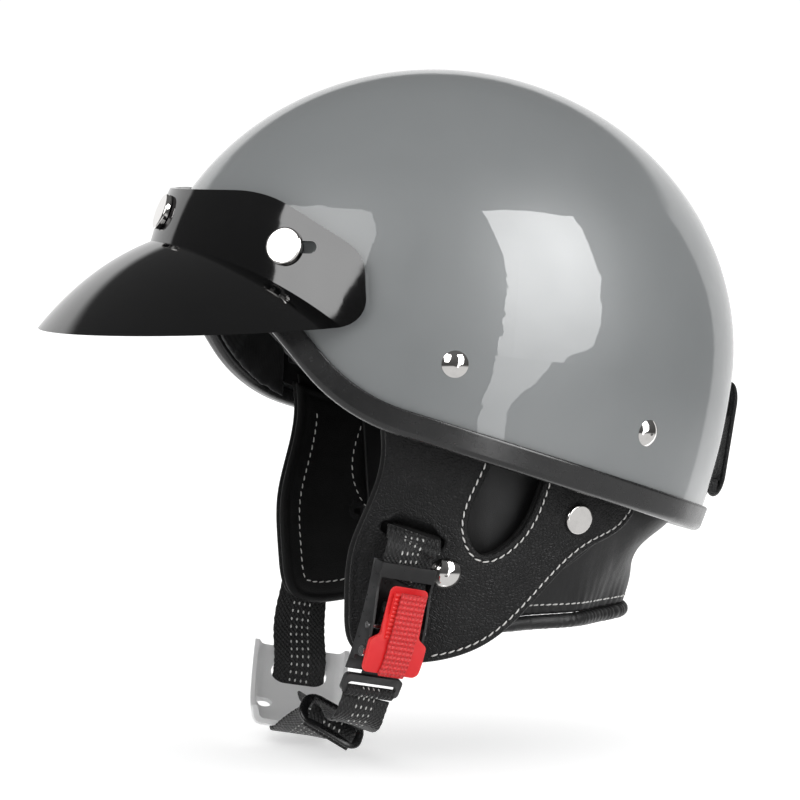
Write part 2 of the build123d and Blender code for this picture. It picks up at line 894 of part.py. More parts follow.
def neck_curtain(rim_cut):
    """Soft skirt lofted round the nape and cut along the rim."""
    sections = []
    last = len(curtain_drops) - 1
    for turn in curtain_turns():
        plane = Plane(origin=(0, 0, 0), x_dir=(math.sin(turn), math.cos(turn), 0),
                      z_dir=(math.cos(turn), -math.sin(turn), 0))
        flip = 1 if plane.y_dir.Z > 0 else -1
        outer = []
        for index, drop in enumerate(curtain_drops):
            level = curtain_floor if index == last else drop
            outer.append((curtain_row(index, turn), -flip * level))
        inner = [(reach - curtain_thickness, level) for reach, level in reversed(outer)]
        outline = [Spline(*outer), Line(outer[-1], inner[0]), Spline(*inner), Line(inner[-1], outer[0])]
        sections.append(plane * make_face(outline))
    return loft(sections) - rim_cut


def neck_curtain_hem():
    """Gathered roll along the curtain's lower edge."""
    sections = []
    last = len(curtain_drops) - 1
    for turn in curtain_turns():
        plane = Plane(origin=(0, 0, 0), x_dir=(math.sin(turn), math.cos(turn), 0),
                      z_dir=(math.cos(turn), -math.sin(turn), 0))
        flip = 1 if plane.y_dir.Z > 0 else -1
        middle = curtain_row(last, turn) - curtain_thickness / 2
        level = -flip * (curtain_floor + hem_radius + fit_gap)
        roll = RectangleRounded(2 * hem_radius, 2 * hem_radius, hem_round_share * hem_radius)
        sections.append(plane * (Pos(middle, level) * roll))
    return loft(sections)


def buckle_plane():
    """Plane of the buckle: across the strap to the rear, up the strap, outwards."""
    return Plane(origin=buckle_place, x_dir=buckle_across, z_dir=buckle_outwards)


def across_bar(face, half):
    """Side view of the buckle drawn to both sides of its middle plane."""
    return extrude(Plane.YZ * face, amount=half, both=True)


def swing_arc(outer, inner, low, high):
    """Side view of a strip on an arc about the swing axis, between two levels up the strap."""
    ring = Circle(outer) - Circle(inner)
    window = Pos((low + high) / 2 - swing_level, outer) * Rectangle(high - low, swing_radius / 2)
    return Pos(swing_level, -swing_radius) * (ring & window)


def pin(radius, level, height, reach):
    """Headed pin across the buckle."""
    body = across_bar(Pos(level, height) * Circle(radius), reach)
    head = across_bar(Pos(level, height) * Circle(pin_head_share * radius), reach + pin_head)
    return body + (head - across_bar(Pos(level, height) * Circle(radius + 2 * pin_head_share * radius), reach))


def buckle_frame():
    """Folded steel frame: curved floor, two cheeks with ears for the pins, bar for the webbing."""
    half = frame_width / 2
    floor_top = swing_radius - floor_drop
    floor = across_bar(swing_arc(floor_top, floor_top - frame_floor_sheet, frame_bottom, frame_top), half)
    ear = lever_pin_level - ear_radius
    low = -floor_drop - cheek_foot
    profile = FilletPolyline(
        (frame_top, low), (frame_top, bar_top), (-bar_length, bar_top),
        (pawl_pin_level + ear_radius, pawl_pin_height + ear_radius),
        (lever_pin_level, lever_pin_height + ear_radius),
        (ear, lever_pin_height + ear_radius), (ear, cheek_step), (ear - cheek_toe, cheek_step),
        (ear - cheek_toe, low - cheek_foot),
        close=True,
        radius=[cheek_round, cheek_round, cheek_round, cheek_round, cheek_round,
                ear_round, cheek_round / 2, cheek_round / 2, cheek_round / 2],
    )
    outline = make_face(profile)
    cheek = across_bar(outline, half) - across_bar(outline, half - frame_sheet)
    below = across_bar(Pos(swing_level, -swing_radius) * Circle(floor_top - frame_floor_sheet), 2 * half)
    bar = across_bar(
        Pos(frame_top - bar_length / 2, bar_top - bar_thickness / 2) * Rectangle(bar_length, bar_thickness),
        half,
    )
    frame = floor + (cheek - below) + bar
    for radius, level, height in (
        (lever_pin_radius, lever_pin_level, lever_pin_height),
        (pawl_pin_radius, pawl_pin_level, pawl_pin_height),
    ):
        frame -= across_bar(Pos(level, height) * Circle(radius + running_gap), half)
    return frame


def release_lever():
    """Red release lever: curved plate, wings over the cheeks, lugs on the pin and grip ribs."""
    under = lever_face - lever_skin
    top = Spline(
        (lever_nose, lever_face - lever_crown), ((lever_nose + lever_pin_level) / 2, lever_face - lever_crown / 4),
        (lever_pin_level + lever_lug_radius * 2, lever_face), (lever_top, lever_face - lever_crown),
    )
    side = make_face([
        top, Line(top @ 1, (lever_top, under)), Line((lever_top, under), (lever_nose, under)),
        Line((lever_nose, under), top @ 0),
    ])
    neck = lever_pin_level + lever_lug_radius * 2
    plan = FilletPolyline(
        (-lever_width / 2, lever_top), (lever_width / 2, lever_top), (lever_width / 2, neck + lever_neck),
        (lever_wing_width / 2, neck), (lever_wing_width / 2, lever_nose),
        (-lever_wing_width / 2, lever_nose), (-lever_wing_width / 2, neck), (-lever_width / 2, neck + lever_neck),
        close=True,
        radius=[lever_corner, lever_corner, lever_skin, lever_skin, lever_corner, lever_corner, lever_skin,
                lever_skin],
    )
    plate = across_bar(side, lever_wing_width) & extrude(make_face(plan), amount=overrun)
    lug = Pos(lever_pin_level, lever_pin_height) * Circle(lever_lug_radius)
    web = Pos(lever_pin_level, (lever_pin_height + under) / 2) * Rectangle(
        2 * lever_lug_radius, under - lever_pin_height + lever_rib
    )
    lugs = across_bar(lug + web, lever_lug_outer) - across_bar(lug + web, lever_lug_inner)
    lever = plate + lugs
    pitch = (lever_rib_high - lever_rib_low) / (lever_ribs - 1)
    for index in range(lever_ribs):
        level = lever_rib_low + pitch * index
        rib = Pos(level, lever_face - lever_crown / 4) * Circle(lever_rib * 2)
        lever += across_bar(rib, lever_rib_reach)
    return lever - across_bar(Pos(lever_pin_level, lever_pin_height) * Circle(lever_pin_radius + running_gap),
                              frame_width)


def buckle_pawl():
    """Pawl that drops into the teeth, a tube on its pin and a plate down to its edge."""
    tube = Pos(pawl_pin_level, pawl_pin_height) * Circle(pawl_tube_radius)
    crest = swing_radius + tongue_lift + tongue_thickness + tooth_height
    tip_y = pawl_pin_level - pawl_reach
    tip_z = math.sqrt(crest**2 - (tip_y - swing_level) ** 2) - swing_radius + pawl_lift
    blade = make_face(Polyline(
        (pawl_pin_level, pawl_pin_height + pawl_tube_radius), (tip_y, tip_z + pawl_edge),
        (tip_y, tip_z), (tip_y + pawl_edge, tip_z),
        (pawl_pin_level, pawl_pin_height - pawl_tube_radius / 2), close=True,
    ))
    pawl = across_bar(tube + blade, pawl_half_width)
    return pawl - across_bar(Pos(pawl_pin_level, pawl_pin_height) * Circle(pawl_pin_radius + running_gap),
                             frame_width)


def lever_spring():
    """Torsion spring coiled on the lever's pin."""
    length = spring_turns * spring_pitch
    path = Helix(pitch=spring_pitch, height=length, radius=spring_radius)
    start = path @ 0
    coil = sweep(Plane(origin=start, z_dir=path % 0) * Circle(spring_wire), path=path)
    turn = Plane(origin=(-length / 2, lever_pin_level, lever_pin_height), x_dir=(0, 1, 0), z_dir=(1, 0, 0))
    return turn * coil


def swing_polar(radius, degrees):
    """Point of the buckle's side view on an arc about the swing axis."""
    turn = math.radians(degrees)
    return swing_level + radius * math.sin(turn), radius * math.cos(turn) - swing_radius


def buckle_tongue():
    """Toothed strip on an arc about the swing axis, ending in the loop for the lower webbing."""
    low = swing_radius + tongue_lift
    base = low + tongue_thickness
    crest = base + tooth_height
    top_turn = math.degrees((tongue_tip - swing_level) / swing_radius)
    end_turn = math.degrees(math.asin((loop_bar_level + loop_height / 2 - swing_level) / swing_radius))
    pitch = math.degrees(tooth_pitch / swing_radius)
    outline = [swing_polar(low, top_turn), swing_polar(base, top_turn)]
    turn = top_turn - pitch
    for _ in range(tooth_count):
        rise = turn - pitch * tooth_slope_share
        land = rise - pitch * tooth_land_share
        outline += [swing_polar(base, turn), swing_polar(crest, rise), swing_polar(crest, land)]
        turn -= pitch
    outline += [swing_polar(base, turn), swing_polar(base, end_turn - pitch), swing_polar(low, end_turn - pitch)]
    steps = 8
    for index in range(1, steps):
        outline.append(swing_polar(low, end_turn - pitch + (top_turn - end_turn + pitch) * index / steps))
    strip = across_bar(make_face(Polyline(*outline, close=True)), tongue_width / 2)
    bar_turn = math.degrees(math.asin((loop_bar_level - swing_level) / swing_radius))
    y, z = swing_polar(low + loop_thickness / 2, bar_turn)
    loop_place = Pos(0, y, z) * Rot(X=-bar_turn)
    frame = RectangleRounded(loop_width, loop_height, loop_corner)
    slot = Pos(0, loop_slot_rise) * SlotOverall(loop_width - 2 * loop_corner, loop_slot)
    loop = Pos(0, 0, -loop_thickness / 2) * extrude(frame - slot, amount=loop_thickness)
    return strip + loop_place * loop


def loop_plane():
    """Plane of the tongue's loop, third axis outwards."""
    bar_turn = math.degrees(math.asin((loop_bar_level - swing_level) / swing_radius))
    y, z = swing_polar(swing_radius + tongue_lift + loop_thickness / 2, bar_turn)
    return buckle_plane() * (Pos(0, y, z) * Rot(X=-bar_turn)) * Plane.XY


def world(plane, x, y, z):
    """Point of a local frame in the shared frame."""
    return tuple(plane.from_local_coords(Vector(x, y, z)))


def slit_frame(side, rise):
    """Mouth of a flap's slit on the leather's face, outward direction and direction along the slit."""
    mouth = form_plane(-slit_forward, -slit_drop + rise, flap_face, side)
    slope = math.radians(slit_slope_degrees)
    along = Vector(0, math.cos(slope), -math.sin(slope))
    out = mouth.z_dir
    along = (along - out * out.dot(along)).normalized()
    return mouth.origin, out, along


def slit_start(side, rise):
    """First stations of the webbing that comes out of a slit and turns down."""
    mouth, out, along = slit_frame(side, rise)
    down = Vector(0, 0, -1)
    return [
        (tuple(mouth - out * (leather_thickness - fit_gap)), tuple(along)),
        (tuple(mouth + out * fit_gap), tuple(along)),
        (tuple(mouth + out * strap_rise + down * strap_rise), tuple(along)),
    ]


def chin_strap_left():
    """Webbing from the left flap's slit down to the buckle's bar."""
    plane = buckle_plane()
    stations = slit_start(1, 0.0)
    for level in (2 * bar_length, bar_length, -bar_length / 2):
        stations.append((world(plane, 0, level, strap_seat), buckle_across))
    return ribbon(resampled(stations, strap_stations), strap_width, strap_thickness, ruled=True)


def chin_strap_right_stub():
    """Short webbing from the right flap's slit down to the swing axis."""
    stations = slit_start(-1, right_flap_rise)
    grow = flap_face + strap_thickness / 2 + 2 * fit_gap
    up = Vector(*swing_up)
    end = Vector(*swing_place) + up * (2 * strap_thickness + fit_gap)
    mouth = stations[0][0][2]
    for share in stub_shares:
        y = -slit_forward + (swing_place[1] + slit_forward) * min(stub_lean_share * share, 1)
        z = mouth + (end.Z - mouth) * share
        plane = form_plane(y, z, grow, -1)
        out = plane.z_dir
        across = Vector(*buckle_across)
        across = (across - out * out.dot(across)).normalized()
        stations.append((tuple(plane.origin), tuple(across)))
    stations.append((tuple(end), buckle_across))
    return ribbon(resampled(stations, strap_stations), strap_width, strap_thickness, ruled=True)


def cup_plane():
    """Plane of the chin cup's arc: first axis down, second to the wearer's right, third along its width."""
    axis = Vector(*cup_axis).normalized()
    down = Vector(0, 0, -1)
    down = (down - axis * axis.dot(down)).normalized()
    return Plane(origin=cup_place, x_dir=down, z_dir=axis)


def cup_point(radius, degrees, along=0.0):
    """Point on the chin cup's arc."""
    turn = math.radians(degrees)
    return world(cup_plane(), radius * math.cos(turn), radius * math.sin(turn), along)


def chin_cup():
    """Moulded trough with turned-up edges, strap slots and vent holes."""
    half = cup_width / 2
    inner = cup_radius - cup_wall
    edge = cup_radius - cup_flange
    section = FilletPolyline(
        (cup_radius, -half), (cup_radius, half), (edge, half + cup_flare), (edge - cup_lip, half + cup_flare),
        (edge - cup_lip, half + cup_flare - cup_wall), (inner, half - cup_wall),
        (inner, -half + cup_wall), (edge - cup_lip, -half - cup_flare + cup_wall),
        (edge - cup_lip, -half - cup_flare), (edge, -half - cup_flare),
        close=True,
        radius=[cup_flange_radius, cup_flange_radius, cup_lip, cup_lip / 3, cup_lip / 3,
                cup_flange_radius - cup_lip, cup_flange_radius - cup_lip, cup_lip / 3, cup_lip / 3, cup_lip],
    )
    span = cup_far_degrees - cup_near_degrees
    body = revolve(Plane.XZ * make_face(section), axis=Axis.Z, revolution_arc=span)
    if body.bounding_box().min.Y < -1 * cup_wall:
        body = Rot(Z=cup_far_degrees) * body
    else:
        body = Rot(Z=cup_near_degrees) * body
    for turn in (cup_slot_degrees, cup_near_slot_degrees):
        slot = SlotOverall(cup_slot_width, cup_slot_length)
        tool = Plane(origin=(0, 0, 0), x_dir=(0, 0, 1), z_dir=(1, 0, 0)) * extrude(slot, amount=2 * cup_radius)
        body -= Rot(Z=turn) * tool
    for turn in (cup_far_degrees - cup_hole_inset_degrees, cup_near_degrees + cup_hole_inset_degrees):
        for along in (-cup_hole_spacing, cup_hole_spacing):
            hole = Plane(origin=(0, 0, along), x_dir=(0, 0, 1), z_dir=(1, 0, 0)) * extrude(
                Circle(cup_hole_radius), amount=2 * cup_radius
            )
            body -= Rot(Z=turn) * hole
    for along in (-cup_vent_spacing, cup_vent_spacing):
        vent = Plane(origin=(0, 0, along), x_dir=(0, 0, 1), z_dir=(1, 0, 0)) * extrude(
            Circle(cup_vent_radius), amount=2 * cup_radius
        )
        body -= Rot(Z=cup_vent_degrees) * vent
    return cup_plane() * body


def chin_strap_right():
    """Webbing from the swing axis through the chin cup to the tri-glide."""
    outside = cup_radius + strap_thickness / 2 + 4 * fit_gap
    inside = cup_radius - cup_wall - strap_thickness / 2 - 2 * fit_gap
    axis = tuple(cup_plane().z_dir)
    start = Vector(*swing_place)
    across = (strap_far_across_shares)
    stations = [
        (tuple(start - Vector(*swing_up) * strap_thickness), buckle_across),
        (tuple(start - Vector(*swing_up) * strap_width / 2), across),
        (strap_far_middle, across),
        (strap_far_low, axis),
        (cup_point(inside, cup_slot_degrees + cup_slot_step_degrees), axis),
        (cup_point(outside, cup_slot_degrees - cup_slot_step_degrees), axis),
        (cup_point(outside, cup_slot_degrees / 2 + cup_slot_step_degrees), axis),
        (cup_point(outside, cup_slot_degrees / 2 - cup_slot_step_degrees), axis),
        (cup_point(outside, 0), axis),
        (cup_point(outside, cup_near_degrees / 2), axis),
    ]
    glide = glide_plane()
    stations.append((world(glide, 0, -glide_height, -fit_gap), tuple(glide.x_dir)))
    stations.append((world(glide, 0, -glide_height / 2 - fit_gap, 0), tuple(glide.x_dir)))
    return ribbon(resampled(stations, strap_long_stations), strap_width, strap_thickness)


def glide_plane():
    """Plane of the tri-glide: across the webbing, along it towards the buckle, outwards."""
    loop_end = Vector(*world(loop_plane(), 0, -loop_height / 2 - strap_width / 2, 0))
    along = loop_end - Vector(*glide_place)
    across = Vector(*glide_across)
    across = (across - along * across.dot(along) / along.dot(along)).normalized()
    out = across.cross(along).normalized()
    return Plane(origin=glide_place, x_dir=across, z_dir=out)


def tri_glide():
    """Wire slide of three bars that holds the spare webbing."""
    frame = RectangleRounded(glide_length, glide_height, glide_corner)
    window = Rectangle(glide_length - 2 * glide_rod, (glide_height - 3 * glide_rod) / 2)
    step = (glide_height - 3 * glide_rod) / 4 + glide_rod / 2
    plate = frame - Pos(0, step) * window - Pos(0, -step) * window
    body = Pos(0, 0, -glide_rod / 2) * extrude(plate, amount=glide_rod)
    return glide_plane() * body


def chin_strap_lower():
    """Webbing from the tri-glide round the tongue's bar, and its spare end."""
    glide = glide_plane()
    loop = loop_plane()
    rise = glide_rod / 2 + strap_thickness / 2 + 2 * fit_gap
    stations = [
        (world(glide, 0, -glide_height / 2 - tail_length, -rise - tail_drop), tuple(glide.x_dir)),
        (world(glide, 0, -glide_height / 2 - tail_length / 2, -rise - tail_drop / 3), tuple(glide.x_dir)),
        (world(glide, 0, -glide_height / 2, -rise), tuple(glide.x_dir)),
        (world(glide, 0, glide_height / 2, -rise), tuple(glide.x_dir)),
        (world(loop, 0, -loop_height / 2 - strap_width / 2, 0), tuple(buckle_across)),
        (world(loop, 0, -loop_height / 2 - strap_thickness, 0), tuple(buckle_across)),
    ]
    band = ribbon(resampled(stations, strap_long_stations), strap_width, strap_thickness)
    bar_low = -loop_height / 2
    bar_high = loop_slot_rise - loop_slot / 2
    wide = loop_thickness / 2 + fit_gap
    high = bar_high + fit_gap
    low = bar_low - fit_gap
    outer = Pos((high + low) / 2, 0) * RectangleRounded(
        high - low + 2 * wrap_thickness, 2 * (wide + wrap_thickness), wrap_thickness
    )
    inner = Pos((high + low) / 2, 0) * Rectangle(high - low, 2 * wide)
    wrap = extrude(Plane.YZ * (outer - inner), amount=strap_width / 2, both=True)
    return band + loop * wrap


def keeper_plane(y, z):
    """Plane on the nape's middle line, first axis to the wearer's left, third axis outwards."""
    def inside(reach):
        return egg_value(0, reach, z)

    reach = bisect(inside, 0, half_length + overrun)
    out = egg_normal(0, reach, z)
    return Plane(origin=(0, reach + y, z), x_dir=(-1, 0, 0), z_dir=out)


def goggle_keeper(egg):
    """Leather tab that snaps down over the nape, its cap and its stud in the shell."""
    seat = keeper_plane(0, -keeper_snap_drop)
    outline = SlotOverall(keeper_length, keeper_width)
    middle = Pos(0, -(keeper_length - keeper_width) / 2, 0)
    tab = middle * Rot(Z=90) * outline
    base = keeper_stud
    plate = Pos(0, 0, base) * extrude(tab, amount=keeper_thickness)
    hole = rod(snap_shank_radius + running_gap, -overrun, overrun)
    plate -= hole
    cap = Pos(0, 0, base + keeper_thickness + running_gap) * dome(keeper_cap_radius, keeper_cap_crown)
    shank = rod(snap_shank_radius, base - keeper_stud / 2, base + keeper_thickness + running_gap)
    stud = rod(stud_flange_radius, -stud_flange, base - fit_gap) - rod(
        snap_shank_radius + running_gap, base - 2 * keeper_stud / 3, base
    )
    stud_tail_rod = rod(stud_shank_radius, -shell_wall - stud_tail, 0)
    end = -(keeper_length - keeper_width / 2)
    base_box = block(-keeper_base_width / 2, keeper_base_width / 2, end + keeper_thickness,
                     end + keeper_thickness + keeper_base, -overrun, base - socket_gap)
    patch = seat * base_box - egg
    return seat * plate, seat * (cap + shank), (seat * stud - egg) + seat * stud_tail_rod, patch


def keeper_hole():
    """Hole through the shell for the keeper's stud, and the pocket in the liner behind it."""
    seat = keeper_plane(0, -keeper_snap_drop)
    return seat * rod(stud_shank_radius + running_gap, -overrun / 2, overrun / 2)


def build():
    """Make every sub-part in place and write it."""
    egg = egg_solid()
    wire = rim_wire()
    rim_cut = above_rim(flap_tuck)

    save("outer_shell", layer(0, shell_wall, above_rim()) - shell_holes() - [keeper_hole()])
    save("edge_trim", edge_trim())

    channels = {side: risers(side, wire, 2 * fit_gap) for side in (1, -1)}
    pockets = [plane * rod(washer_radius + fit_gap, -overrun, 0) for plane in rivet_planes()]
    for plane, depth in visor_snap_seats():
        pockets.append(plane * rod(stud_radius + 2 * stud_tail, -depth - overrun, -depth))
    pockets.append(keeper_hole())
    liner = layer(shell_wall + liner_gap, liner_thickness, above_rim(liner_rim_rise))
    save("eps_liner", liner - channels[1] - channels[-1] - pockets)
    for name, pad in pads().items():
        if name.startswith("side"):
            side = 1 if name.endswith("left") else -1
            pad = pad - channels[side]
        save(name, pad)

    save("visor_peak", visor_peak())
    caps, sockets, studs = visor_snaps(egg)
    save("visor_snap_caps", Compound(caps))
    save("visor_snap_sockets", Compound(sockets))
    save("visor_snap_studs", Compound(studs))
    save("strap_rivets", Compound(rivets(egg)))
    save("rivet_washers", Compound(washers()))

    for name, side, rise in (("left", 1, 0.0), ("right", -1, right_flap_rise)):
        leather, webbing, lining = flap(side, rise, rim_cut)
        anchor = webbing - above_rim(flap_tuck + 2 * riser_overlap)
        for riser in risers(side, wire):
            anchor += riser
        save(f"ear_flap_{name}", leather)
        save(f"strap_anchor_{name}", anchor)
        save(f"ear_flap_{name}_lining", lining)
    caps, backs = flap_snaps()
    save("flap_snap_caps", Compound(caps))
    save("flap_snap_backs", Compound(backs))
    save("neck_curtain", neck_curtain(above_rim(curtain_top_rise)))
    save("neck_curtain_hem", neck_curtain_hem())

    place = buckle_plane()
    save("chin_strap_left", chin_strap_left())
    save("buckle_frame", place * buckle_frame())
    save("release_lever", place * release_lever())
    reach = frame_width / 2 + running_gap
    save("lever_pin", place * pin(lever_pin_radius, lever_pin_level, lever_pin_height, reach))
    save("lever_spring", place * lever_spring())
    save("buckle_pawl", place * buckle_pawl())
    save("pawl_pin", place * pin(pawl_pin_radius, pawl_pin_level, pawl_pin_height, reach))
    save("buckle_tongue", place * buckle_tongue())

    save("chin_strap_lower", chin_strap_lower())
    save("tri_glide", tri_glide())
    save("chin_strap_right", chin_strap_right())
    save("chin_strap_right_stub", chin_strap_right_stub())
    save("chin_cup", chin_cup())

    tab, cap, stud, patch = goggle_keeper(egg)
    save("goggle_tab", tab)
    save("goggle_tab_cap", cap)
    save("goggle_tab_stud", stud)
    save("goggle_tab_patch", patch)


build()
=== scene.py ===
import json
import math

import bmesh
import bpy
import numpy as np
from mathutils import Matrix, Vector, bvhtree, geometry, noise


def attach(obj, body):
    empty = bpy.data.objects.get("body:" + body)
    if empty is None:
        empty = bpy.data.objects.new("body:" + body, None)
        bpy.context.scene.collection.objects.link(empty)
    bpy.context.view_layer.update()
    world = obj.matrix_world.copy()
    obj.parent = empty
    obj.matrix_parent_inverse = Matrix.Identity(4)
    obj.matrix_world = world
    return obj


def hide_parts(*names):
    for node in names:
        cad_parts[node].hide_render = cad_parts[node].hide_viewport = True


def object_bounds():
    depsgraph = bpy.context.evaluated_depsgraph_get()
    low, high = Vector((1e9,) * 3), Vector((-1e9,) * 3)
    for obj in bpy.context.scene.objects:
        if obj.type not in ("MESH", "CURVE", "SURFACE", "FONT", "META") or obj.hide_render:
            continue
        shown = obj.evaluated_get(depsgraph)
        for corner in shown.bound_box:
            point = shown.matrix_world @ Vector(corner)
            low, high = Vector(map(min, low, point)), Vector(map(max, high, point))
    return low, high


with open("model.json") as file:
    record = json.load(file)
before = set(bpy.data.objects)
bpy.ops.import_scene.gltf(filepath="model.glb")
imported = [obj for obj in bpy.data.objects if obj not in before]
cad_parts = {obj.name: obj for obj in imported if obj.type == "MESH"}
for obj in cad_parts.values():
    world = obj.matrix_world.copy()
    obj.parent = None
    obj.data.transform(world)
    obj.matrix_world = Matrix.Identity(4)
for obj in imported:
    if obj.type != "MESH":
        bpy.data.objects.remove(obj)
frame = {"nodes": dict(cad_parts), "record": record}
nodes = frame["nodes"]
cad_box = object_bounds()
mm = 0.001
full_turn = 2 * math.pi

# Camera, at the place that the photograph was taken from
camera_lens = 173.7
camera_place = (1.7227, -0.5134, 0.0995)
back = Vector((0.95892, -0.27497, 0.06976)).normalized()
right = Vector((0.2756, 0.9613, 0.0)).normalized()
up = back.cross(right)
camera_data = bpy.data.cameras.new("camera")
camera_data.lens = camera_lens
camera_data.sensor_width = 36.0
camera_data.clip_start = 0.05
camera_data.clip_end = 60.0
camera = bpy.data.objects.new("camera", camera_data)
bpy.context.scene.collection.objects.link(camera)
camera.matrix_world = Matrix([
    (right[k], up[k], back[k], camera_place[k]) for k in range(3)
] + [(0, 0, 0, 1)])
bpy.context.scene.camera = camera


# Helpers for node trees
class Nodes:
    """Adds nodes to the tree of a material, a group or the world."""

    def __init__(self, tree):
        self.tree = tree

    def add(self, kind, **values):
        node = self.tree.nodes.new(kind)
        for key, value in values.items():
            setattr(node, key, value)
        return node

    def join(self, value, into):
        """Feeds a socket with another socket or with a plain number."""
        if isinstance(value, (int, float)):
            into.default_value = value
        else:
            self.tree.links.new(value, into)

    def noise(self, scale, detail=3.0, rough=0.55, vector=None):
        node = self.add("ShaderNodeTexNoise")
        self.join(scale, node.inputs["Scale"])
        self.join(detail, node.inputs["Detail"])
        self.join(rough, node.inputs["Roughness"])
        self.join(vector or self.place, node.inputs["Vector"])
        return node.outputs["Fac"]

    def cells(self, scale, vector=None):
        """Distance from the edges of a pattern of cells."""
        node = self.add("ShaderNodeTexVoronoi", feature="DISTANCE_TO_EDGE")
        self.join(scale, node.inputs["Scale"])
        self.join(vector or self.place, node.inputs["Vector"])
        return node.outputs["Distance"]

    def span(self, value, low, high, to_low, to_high, smooth=False):
        node = self.add("ShaderNodeMapRange")
        if smooth:
            node.interpolation_type = "SMOOTHSTEP"
        limits = {"From Min": low, "From Max": high, "To Min": to_low, "To Max": to_high}
        for key, number in limits.items():
            self.join(number, node.inputs[key])
        self.join(value, node.inputs["Value"])
        return node.outputs["Result"]

    def calc(self, operation, *values):
        node = self.add("ShaderNodeMath", operation=operation)
        for value, socket in zip(values, node.inputs):
            self.join(value, socket)
        return node.outputs[0]

    def mix(self, share, first, second):
        """Colour between two colours, each a tuple or an output."""
        node = self.add("ShaderNodeMix", data_type="RGBA")
        self.join(share, node.inputs[0])
        for index, value in ((6, first), (7, second)):
            if isinstance(value, tuple):
                node.inputs[index].default_value = (*value, 1)
            else:
                self.join(value, node.inputs[index])
        return node.outputs[2]

    def axis(self, index, vector=None):
        node = self.add("ShaderNodeSeparateXYZ")
        self.join(vector or self.place, node.inputs[0])
        return node.outputs[index]


def effect(name, vector, numbers, output, build):
    """Node group of an effect: one vector input, named numbers, and one output."""
    group = bpy.data.node_groups.new(name, "ShaderNodeTree")
    group.interface.new_socket(vector, in_out="INPUT", socket_type="NodeSocketVector")
    for number in numbers:
        group.interface.new_socket(number, in_out="INPUT", socket_type="NodeSocketFloat")
    group.interface.new_socket(output, in_out="OUTPUT", socket_type="NodeSocketFloat")
    inner = Nodes(group)
    given = inner.add("NodeGroupInput").outputs
    inner.place = given[vector]
    inner.join(build(inner, given), inner.add("NodeGroupOutput").inputs[0])
    return group


def mottling_nodes(inner, given):
    """Clouds of a second tone: a share between two limits of a noise."""
    cloud = inner.noise(given["Scale"], given["Detail"])
    return inner.span(cloud, given["From"], given["To"], 0, given["Amount"])


def gloss_nodes(inner, given):
    """Roughness that drifts over the surface."""
    cloud = inner.noise(given["Scale"], given["Detail"])
    return inner.span(cloud, 0.3, 0.7, given["Smooth"], given["Rough"])


def wear_nodes(inner, given):
    """Share of patchy wear where the surface turns sharply."""
    sharpness = inner.add("ShaderNodeNewGeometry").outputs["Pointiness"]
    edge = inner.span(sharpness, given["From"], given["To"], 0, given["Amount"])
    return inner.calc("MULTIPLY", edge, inner.span(inner.noise(120.0), 0.35, 0.65, 0.25, 1))


def pebble_nodes(inner, given):
    """Height of leather's pebbles, their pattern pushed about a little."""
    drift = inner.add("ShaderNodeTexNoise")
    drift.inputs["Scale"].default_value = 160.0
    inner.join(inner.place, drift.inputs["Vector"])
    push = inner.add("ShaderNodeVectorMath", operation="MULTIPLY_ADD")
    push.inputs[1].default_value = (0.0014, 0.0014, 0.0014)
    inner.join(drift.outputs["Color"], push.inputs[0])
    inner.join(inner.place, push.inputs[2])
    pebbles = inner.cells(given["Scale"], push.outputs[0])
    return inner.span(pebbles, 0.0, 0.22, 0, 1, smooth=True)


def weave_nodes(inner, given):
    """Height of a slanted weave over UV in metres."""
    turn = inner.calc("MULTIPLY", inner.axis(0), inner.calc("DIVIDE", full_turn, given["Rib"]))
    step = inner.calc("MULTIPLY", inner.axis(1), inner.calc("DIVIDE", full_turn, given["Pick"]))
    weave = inner.calc("MULTIPLY", inner.calc("SINE", turn), inner.calc("SINE", step))
    slant = inner.calc("SINE", inner.calc("ADD", inner.calc("MULTIPLY", turn, 2.0), step))
    return inner.calc("ADD", weave, inner.calc("MULTIPLY", slant, 0.35))


mottling = effect("mottling", "Place", ("Scale", "Detail", "From", "To", "Amount"), "Share",
                  mottling_nodes)
uneven_gloss = effect("uneven_gloss", "Place", ("Scale", "Detail", "Smooth", "Rough"), "Roughness",
                      gloss_nodes)
edge_wear = effect("edge_wear", "Place", ("From", "To", "Amount"), "Share", wear_nodes)
pebble_grain = effect("pebble_grain", "Place", ("Scale",), "Height", pebble_nodes)
webbing_weave = effect("webbing_weave", "Flat", ("Rib", "Pick"), "Height", weave_nodes)


